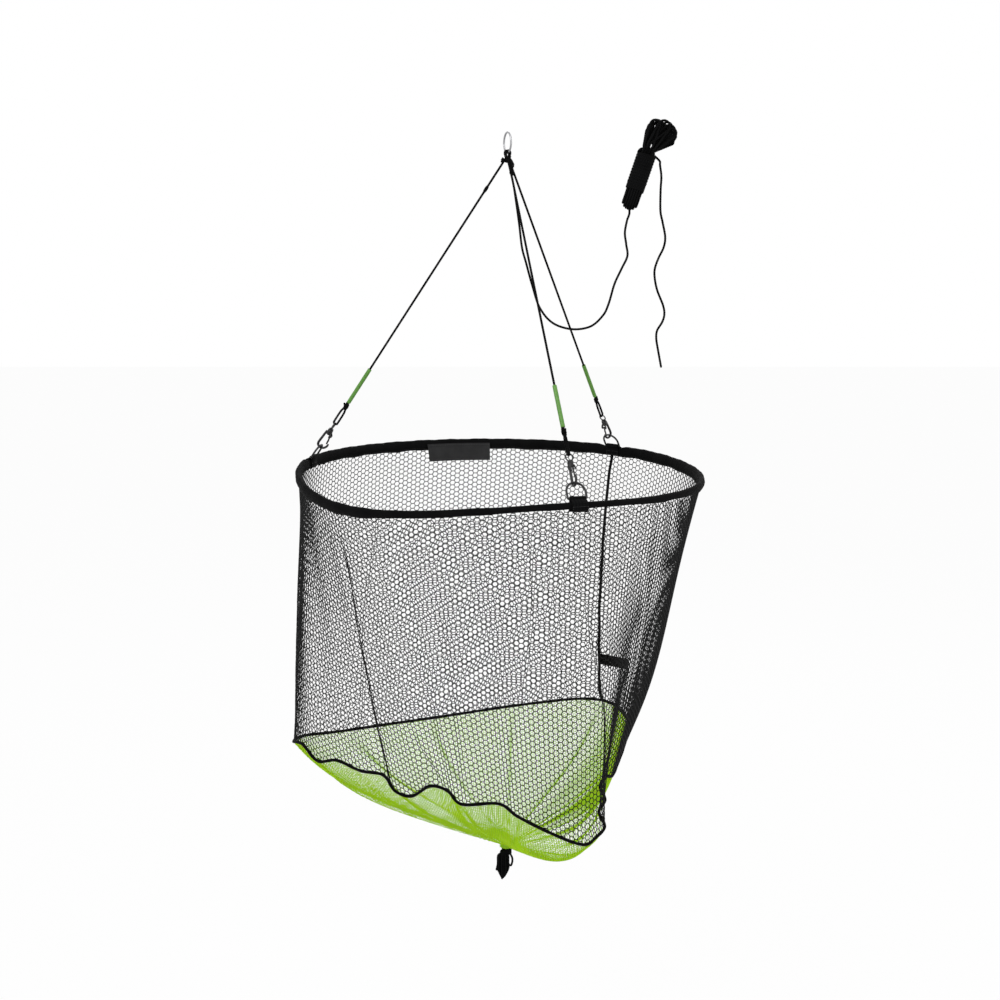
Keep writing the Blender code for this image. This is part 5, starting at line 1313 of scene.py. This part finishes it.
made = bmesh.ops.extrude_face_region(label_bm, geom=label_bm.faces[:])
for v in made["geom"]:
    if isinstance(v, bmesh.types.BMVert):
        v.co.z = 1
for v in label_bm.verts:
    hemmed = abs(v.co.x) > 0.93 or abs(v.co.y) > 0.75
    side = (1 if v.co.z > 0.5 else -1) * LABEL_THICKNESS / 2 * (1.25 if hemmed else 0.8)
    along = (v.co.x + 1) / 2
    curl = 0.0012 * math.sin(math.pi * along) * (1 + 0.5 * v.co.y)
    out = label_across * (along * SIDE_LABEL_SIZE[0] - SIDE_LABEL_UNDER) - UP * (SIDE_LABEL_DROOP * along)
    v.co = label_at + out + label_up * (v.co.y * SIDE_LABEL_SIZE[1] / 2) + label_out * (side + curl)
woven = webbing_look("black_woven_label", (0.0020, 0.0022, 0.0020), (0.0120, 0.0125, 0.0120), 1.0, 1.0)
dress("side_tag", faced_out(label_bm), "seam_label", woven, "woven_label", "side_label", sharp=40)

# Binding of the lower seam
# A folded black tape that joins the wall to the fine bottom. It is sewn round, and it winds up and
# down where the netting is slack.
BINDING_RADIUS = 0.0023
binding_line = [seam_point(k / 10) for k in range(len(SEAM_POINTS) * 10)]
binding_radii = []
for k in range(len(binding_line)):
    binding_radii.append(BINDING_RADIUS * (1 + 0.10 * math.sin(k * 0.9) * math.sin(k * 0.37)))
binding_bm = swept(binding_line, binding_radii, 12, closed=True)
sewn = bmesh.new()
for outwards, upwards in ((1, -0.4), (0.3, 1)):
    ways = []
    for point in binding_line:
        out = (point - HOOP_CENTRE).xy.to_3d().normalized()
        ways.append((out * outwards + UP * upwards).normalized())
    points = [p + way * (r - 0.0001) for p, way, r in zip(binding_line, ways, binding_radii)]
    stitches(sewn, points, ways, 0.0026)
binding_look = webbing_look("black_seam_binding", *DARK_CLOTH, 1.0, 2.0)
binding_node = "bottom_seam_binding"
sewn_piece("seam_binding", binding_bm, sewn, "net_floor", binding_look, "black_webbing", binding_node)

# Fine bottom
# Lime-green netting with small meshes, cut three-cornered and sewn to the seam. It hangs in a
# shallow bag, gathers in folds towards its neck, and is tied shut there.
BAG_CENTRE = HOOP_CENTRE + Vector((0.010, -0.100, -0.549))
BAG_FULLNESS = (
    (0, 0.42), (150, 0.38), (200, 0.25), (250, 0.25), (285, 0.45), (312, 0.60), (335, 0.48), (360, 0.42),
)
FINE_COLUMN = 0.003502
FINE_HALF_ROW = 0.001957
FINE_STRAND = 0.00112
BAG_TABLE = 720
BAG_STEPS = 20
BAG_SPLIT = 0.058
BAG_WIDTH = 0.55
NECK_CLEAR = 0.0070
FOLD_GATHER = 0.70
BAG_FOLDS = (
    (207, 5.0, 0.0050), (241, 5.2, 0.0055), (276, 4.6, 0.0045), (88, 3.0, 0.0040), (150, 4.0, 0.0040),
    (187, 3.4, 0.0025), (309, 3.6, 0.0030), (345, 4.0, 0.0040), (28, 4.0, 0.0040), (120, 3.0, 0.0030),
    (60, 3.0, 0.0030),
)

bag_edge = []
for edge in seam_steps[:-1]:
    flat = (edge - BAG_CENTRE).xy
    bag_edge.append((math.atan2(flat.y, flat.x) % math.tau, flat.length, edge.z))
bag_edge.sort()
bag_edge = [(bag_edge[-1][0] - math.tau, *bag_edge[-1][1:])] + bag_edge
bag_edge.append((bag_edge[1][0] + math.tau, *bag_edge[1][1:]))


def bag_height(angle, reach, edge_reach, edge_height):
    """The bottom's height at a distance from its neck."""
    share = 1 - reach / edge_reach
    full = along_table(BAG_FULLNESS, math.degrees(angle))
    fall = full * (1 - (1 - share) ** 6) + (1 - full) * share
    return edge_height + (BAG_CENTRE.z - edge_height) * fall


def polar(x, y):
    """A flat point's distance from the neck, and its angle round it."""
    return math.hypot(x, y), math.atan2(y, x) % math.tau


bag_table = []
edge_order = [edge[0] for edge in bag_edge]
for k in range(BAG_TABLE + 1):
    angle = math.tau * k / BAG_TABLE
    i = max(1, bisect.bisect_left(edge_order, angle))
    one, other = bag_edge[i - 1], bag_edge[i]
    part = (angle - one[0]) / max(1e-9, other[0] - one[0])
    edge_reach, edge_height = [mix(pair, part) for pair in zip(one[1:], other[1:])]
    run = []
    for step in range(BAG_STEPS + 1):
        reach = edge_reach * step / BAG_STEPS
        run.append((reach, bag_height(angle, reach, edge_reach, edge_height)))
    lengths = [0.0]
    for before, now in zip(run, run[1:]):
        lengths.append(lengths[-1] + math.dist(before, now))
    bag_table.append((edge_reach, edge_height, lengths))


def bag_run(angle):
    """The bag's edge at an angle, and the lengths of netting down to its steps."""
    return bag_table[round((angle % math.tau) / math.tau * BAG_TABLE)]


def bag_corner(third, half_row):
    """Where a corner of the fine meshes lies on the bag."""
    radius, angle = polar(third * FINE_COLUMN / 3, half_row * FINE_HALF_ROW)
    ripple = shift = 0.0
    for middle, width, depth in BAG_FOLDS:
        away = degrees_from(angle, middle)
        if abs(away) < 4 * width:
            ripple += depth * hump(away, width)
            shift -= math.radians(FOLD_GATHER * away) * hump(away, width)
    share = min(1.0, radius / bag_run(angle)[2][-1])
    faded = min(1, share * 5) * min(1, (1 - share) * 6)
    angle += shift * faded
    edge_reach, edge_height, lengths = bag_run(angle)
    reach = edge_reach
    if radius < lengths[-1]:
        i = bisect.bisect_right(lengths, radius) - 1
        reach *= (i + (radius - lengths[i]) / (lengths[i + 1] - lengths[i])) / BAG_STEPS
    wave = 0.0018 * math.sin(7 * angle + 1) + 0.0016 * math.sin(19 * angle) * share * (1 - share)
    at = BAG_CENTRE + at_angle(angle, reach)
    at.z = bag_height(angle, reach, edge_reach, edge_height) + faded * (ripple + wave)
    return at


LIME = ((0.300, 0.560, 0.004), (0.450, 0.760, 0.010))
lime_net = net_look("lime_fine_net", *LIME, Subsurface_Weight=0.12, Subsurface_Scale=0.001)
bag_cells = {"bottom_net_front": [], "bottom_net_back": []}
reach_most = max(lengths[-1] for edge_reach, edge_height, lengths in bag_table)
columns = int(reach_most / FINE_COLUMN) + 2
rows = int(reach_most / FINE_HALF_ROW / 2) + 2
for i in range(-columns, columns + 1):
    for j in range(-rows, rows + 1):
        x, y = i * FINE_COLUMN, (2 * j + i % 2) * FINE_HALF_ROW
        radius, angle = polar(x, y)
        if NECK_CLEAR < radius < bag_run(angle)[2][-1] + 0.0004:
            bag_cells["bottom_net_front" if y < BAG_SPLIT else "bottom_net_back"].append((i, j))
for name, cells in bag_cells.items():
    bm = netting(cells, bag_corner)
    net_piece = strung(name, bm, "net_floor", lime_net, FINE_STRAND, "lime_netting", "net_bottom")
    cell_area = FINE_COLUMN * 2 * FINE_HALF_ROW * len(cells)
    flat = (BAG_WIDTH, cell_area / BAG_WIDTH)

# Bottom's neck
# The fine netting's gathered middle, which goes down through the tie in tight pleats.
NECK_PLEATS = 18
NECK_SIDES = 72
NECK_PROFILE = (
    (0.0105, -0.0004, 15), (0.0080, 0.0002, 12), (0.0056, 0.0014, 9), (0.0045, 0.0036, 7),
    (0.0045, 0.0090, 2), (0.0056, 0.0112, 0),
)
neck_rings = []
for radius, drop, along in NECK_PROFILE[::-1]:
    ring = []
    for k in range(NECK_SIDES):
        angle = math.tau * k / NECK_SIDES
        pleat = radius * (1 + 0.10 * math.cos(NECK_PLEATS * angle))
        ring.append(BAG_CENTRE + at_angle(angle, pleat, -drop))
    neck_rings.append(ring)
neck_bm = faced_out(lofted(neck_rings, [along for radius, drop, along in NECK_PROFILE[::-1]], NECK_PLEATS))
dress("bottom_neck", neck_bm, "net_floor", lime_net, "lime_netting", "net_bottom")

# Tie
# Black braided cord wound four times round the neck and knotted. Its slack is put up in a bunch of
# loops below, with one loop open on the right and the cord's end on the left.
TIE_CORD = 0.0014
TIE_SIDES = 10
TIE_LOOPS = (
    (180, 8.4, 31), (172, 5.2, 37), (200, 7.0, 34), (160, 6.6, 33), (215, 3.2, 41), (150, 3.8, 40),
    (0, 8.0, 30), (12, 5.6, 35), (-14, 7.0, 32), (25, 3.2, 38), (-35, 3.6, 37), (90, 2.6, 36),
    (-90, 3.2, 39), (-60, 6.0, 33), (60, 5.0, 33), (-120, 5.4, 35), (120, 5.0, 34),
)
TIE_OPEN_LOOP = (
    (1, 0, 2), (8, -1, 0), (12.5, -1, -6), (13.6, -1, -13), (11.5, -1, -20), (8.2, -1, -18),
    (6.5, -1, -9), (1, 0, -1),
)
TIE_END = ((-1, 0, 0), (-6, 1, -9), (-8.4, 1, -20), (-10.4, 1, -29))
wrap = []
for k in range(97):
    wrap.append(BAG_CENTRE + at_angle(math.tau * k / 24 - math.pi / 2, 0.0061, -0.0020 - 0.0026 * k / 24))
knot_at = BAG_CENTRE + Vector((-0.0052, -0.0050, -0.0075))
knot_line = []
for k in range(61):
    angle = math.tau * 2.5 * k / 60
    height = 3.5 - 7.0 * k / 60 + 1.2 * math.cos(angle)
    knot_line.append(knot_at + Vector((3.6 * math.cos(angle), 3.0 * math.sin(angle), height)) * MM)
tie_parts = [braided(wrap, TIE_CORD, TIE_SIDES), braided(knot_line, TIE_CORD * 1.1, TIE_SIDES)]
for turn, spread, drop in TIE_LOOPS:
    way = at_angle(math.radians(turn), 1)
    way.y *= 0.8
    other = Vector((-way.y, way.x, 0))
    hang = [(0.6, 0, 0), (0.90 * spread, 0.3, -4.5), (0.98 * spread, 0.5, -0.50 * drop)]
    hang += [(spread, 1.0, -0.82 * drop), (0.65 * spread, 0, -drop)]
    hang += [(0.40 * spread, -1.3, -0.82 * drop), (0.50 * spread, -0.9, -0.45 * drop), (0.5, -0.3, -3)]
    points = [knot_at + (way * a + other * b + UP * c) * MM for a, b, c in hang]
    tie_parts.append(braided(smooth_curve(points), TIE_CORD, TIE_SIDES))
open_loop = [knot_at + p for p in in_mm(TIE_OPEN_LOOP)]
tie_parts.append(braided(smooth_curve(open_loop), TIE_CORD * 1.1, TIE_SIDES))
tie_parts.append(cut_cord([knot_at + p for p in in_mm(TIE_END)], TIE_CORD, TIE_SIDES))
dress("tie_bunch", together(*tie_parts), "net_floor", cord_look, "black_cord", "bottom_tie")
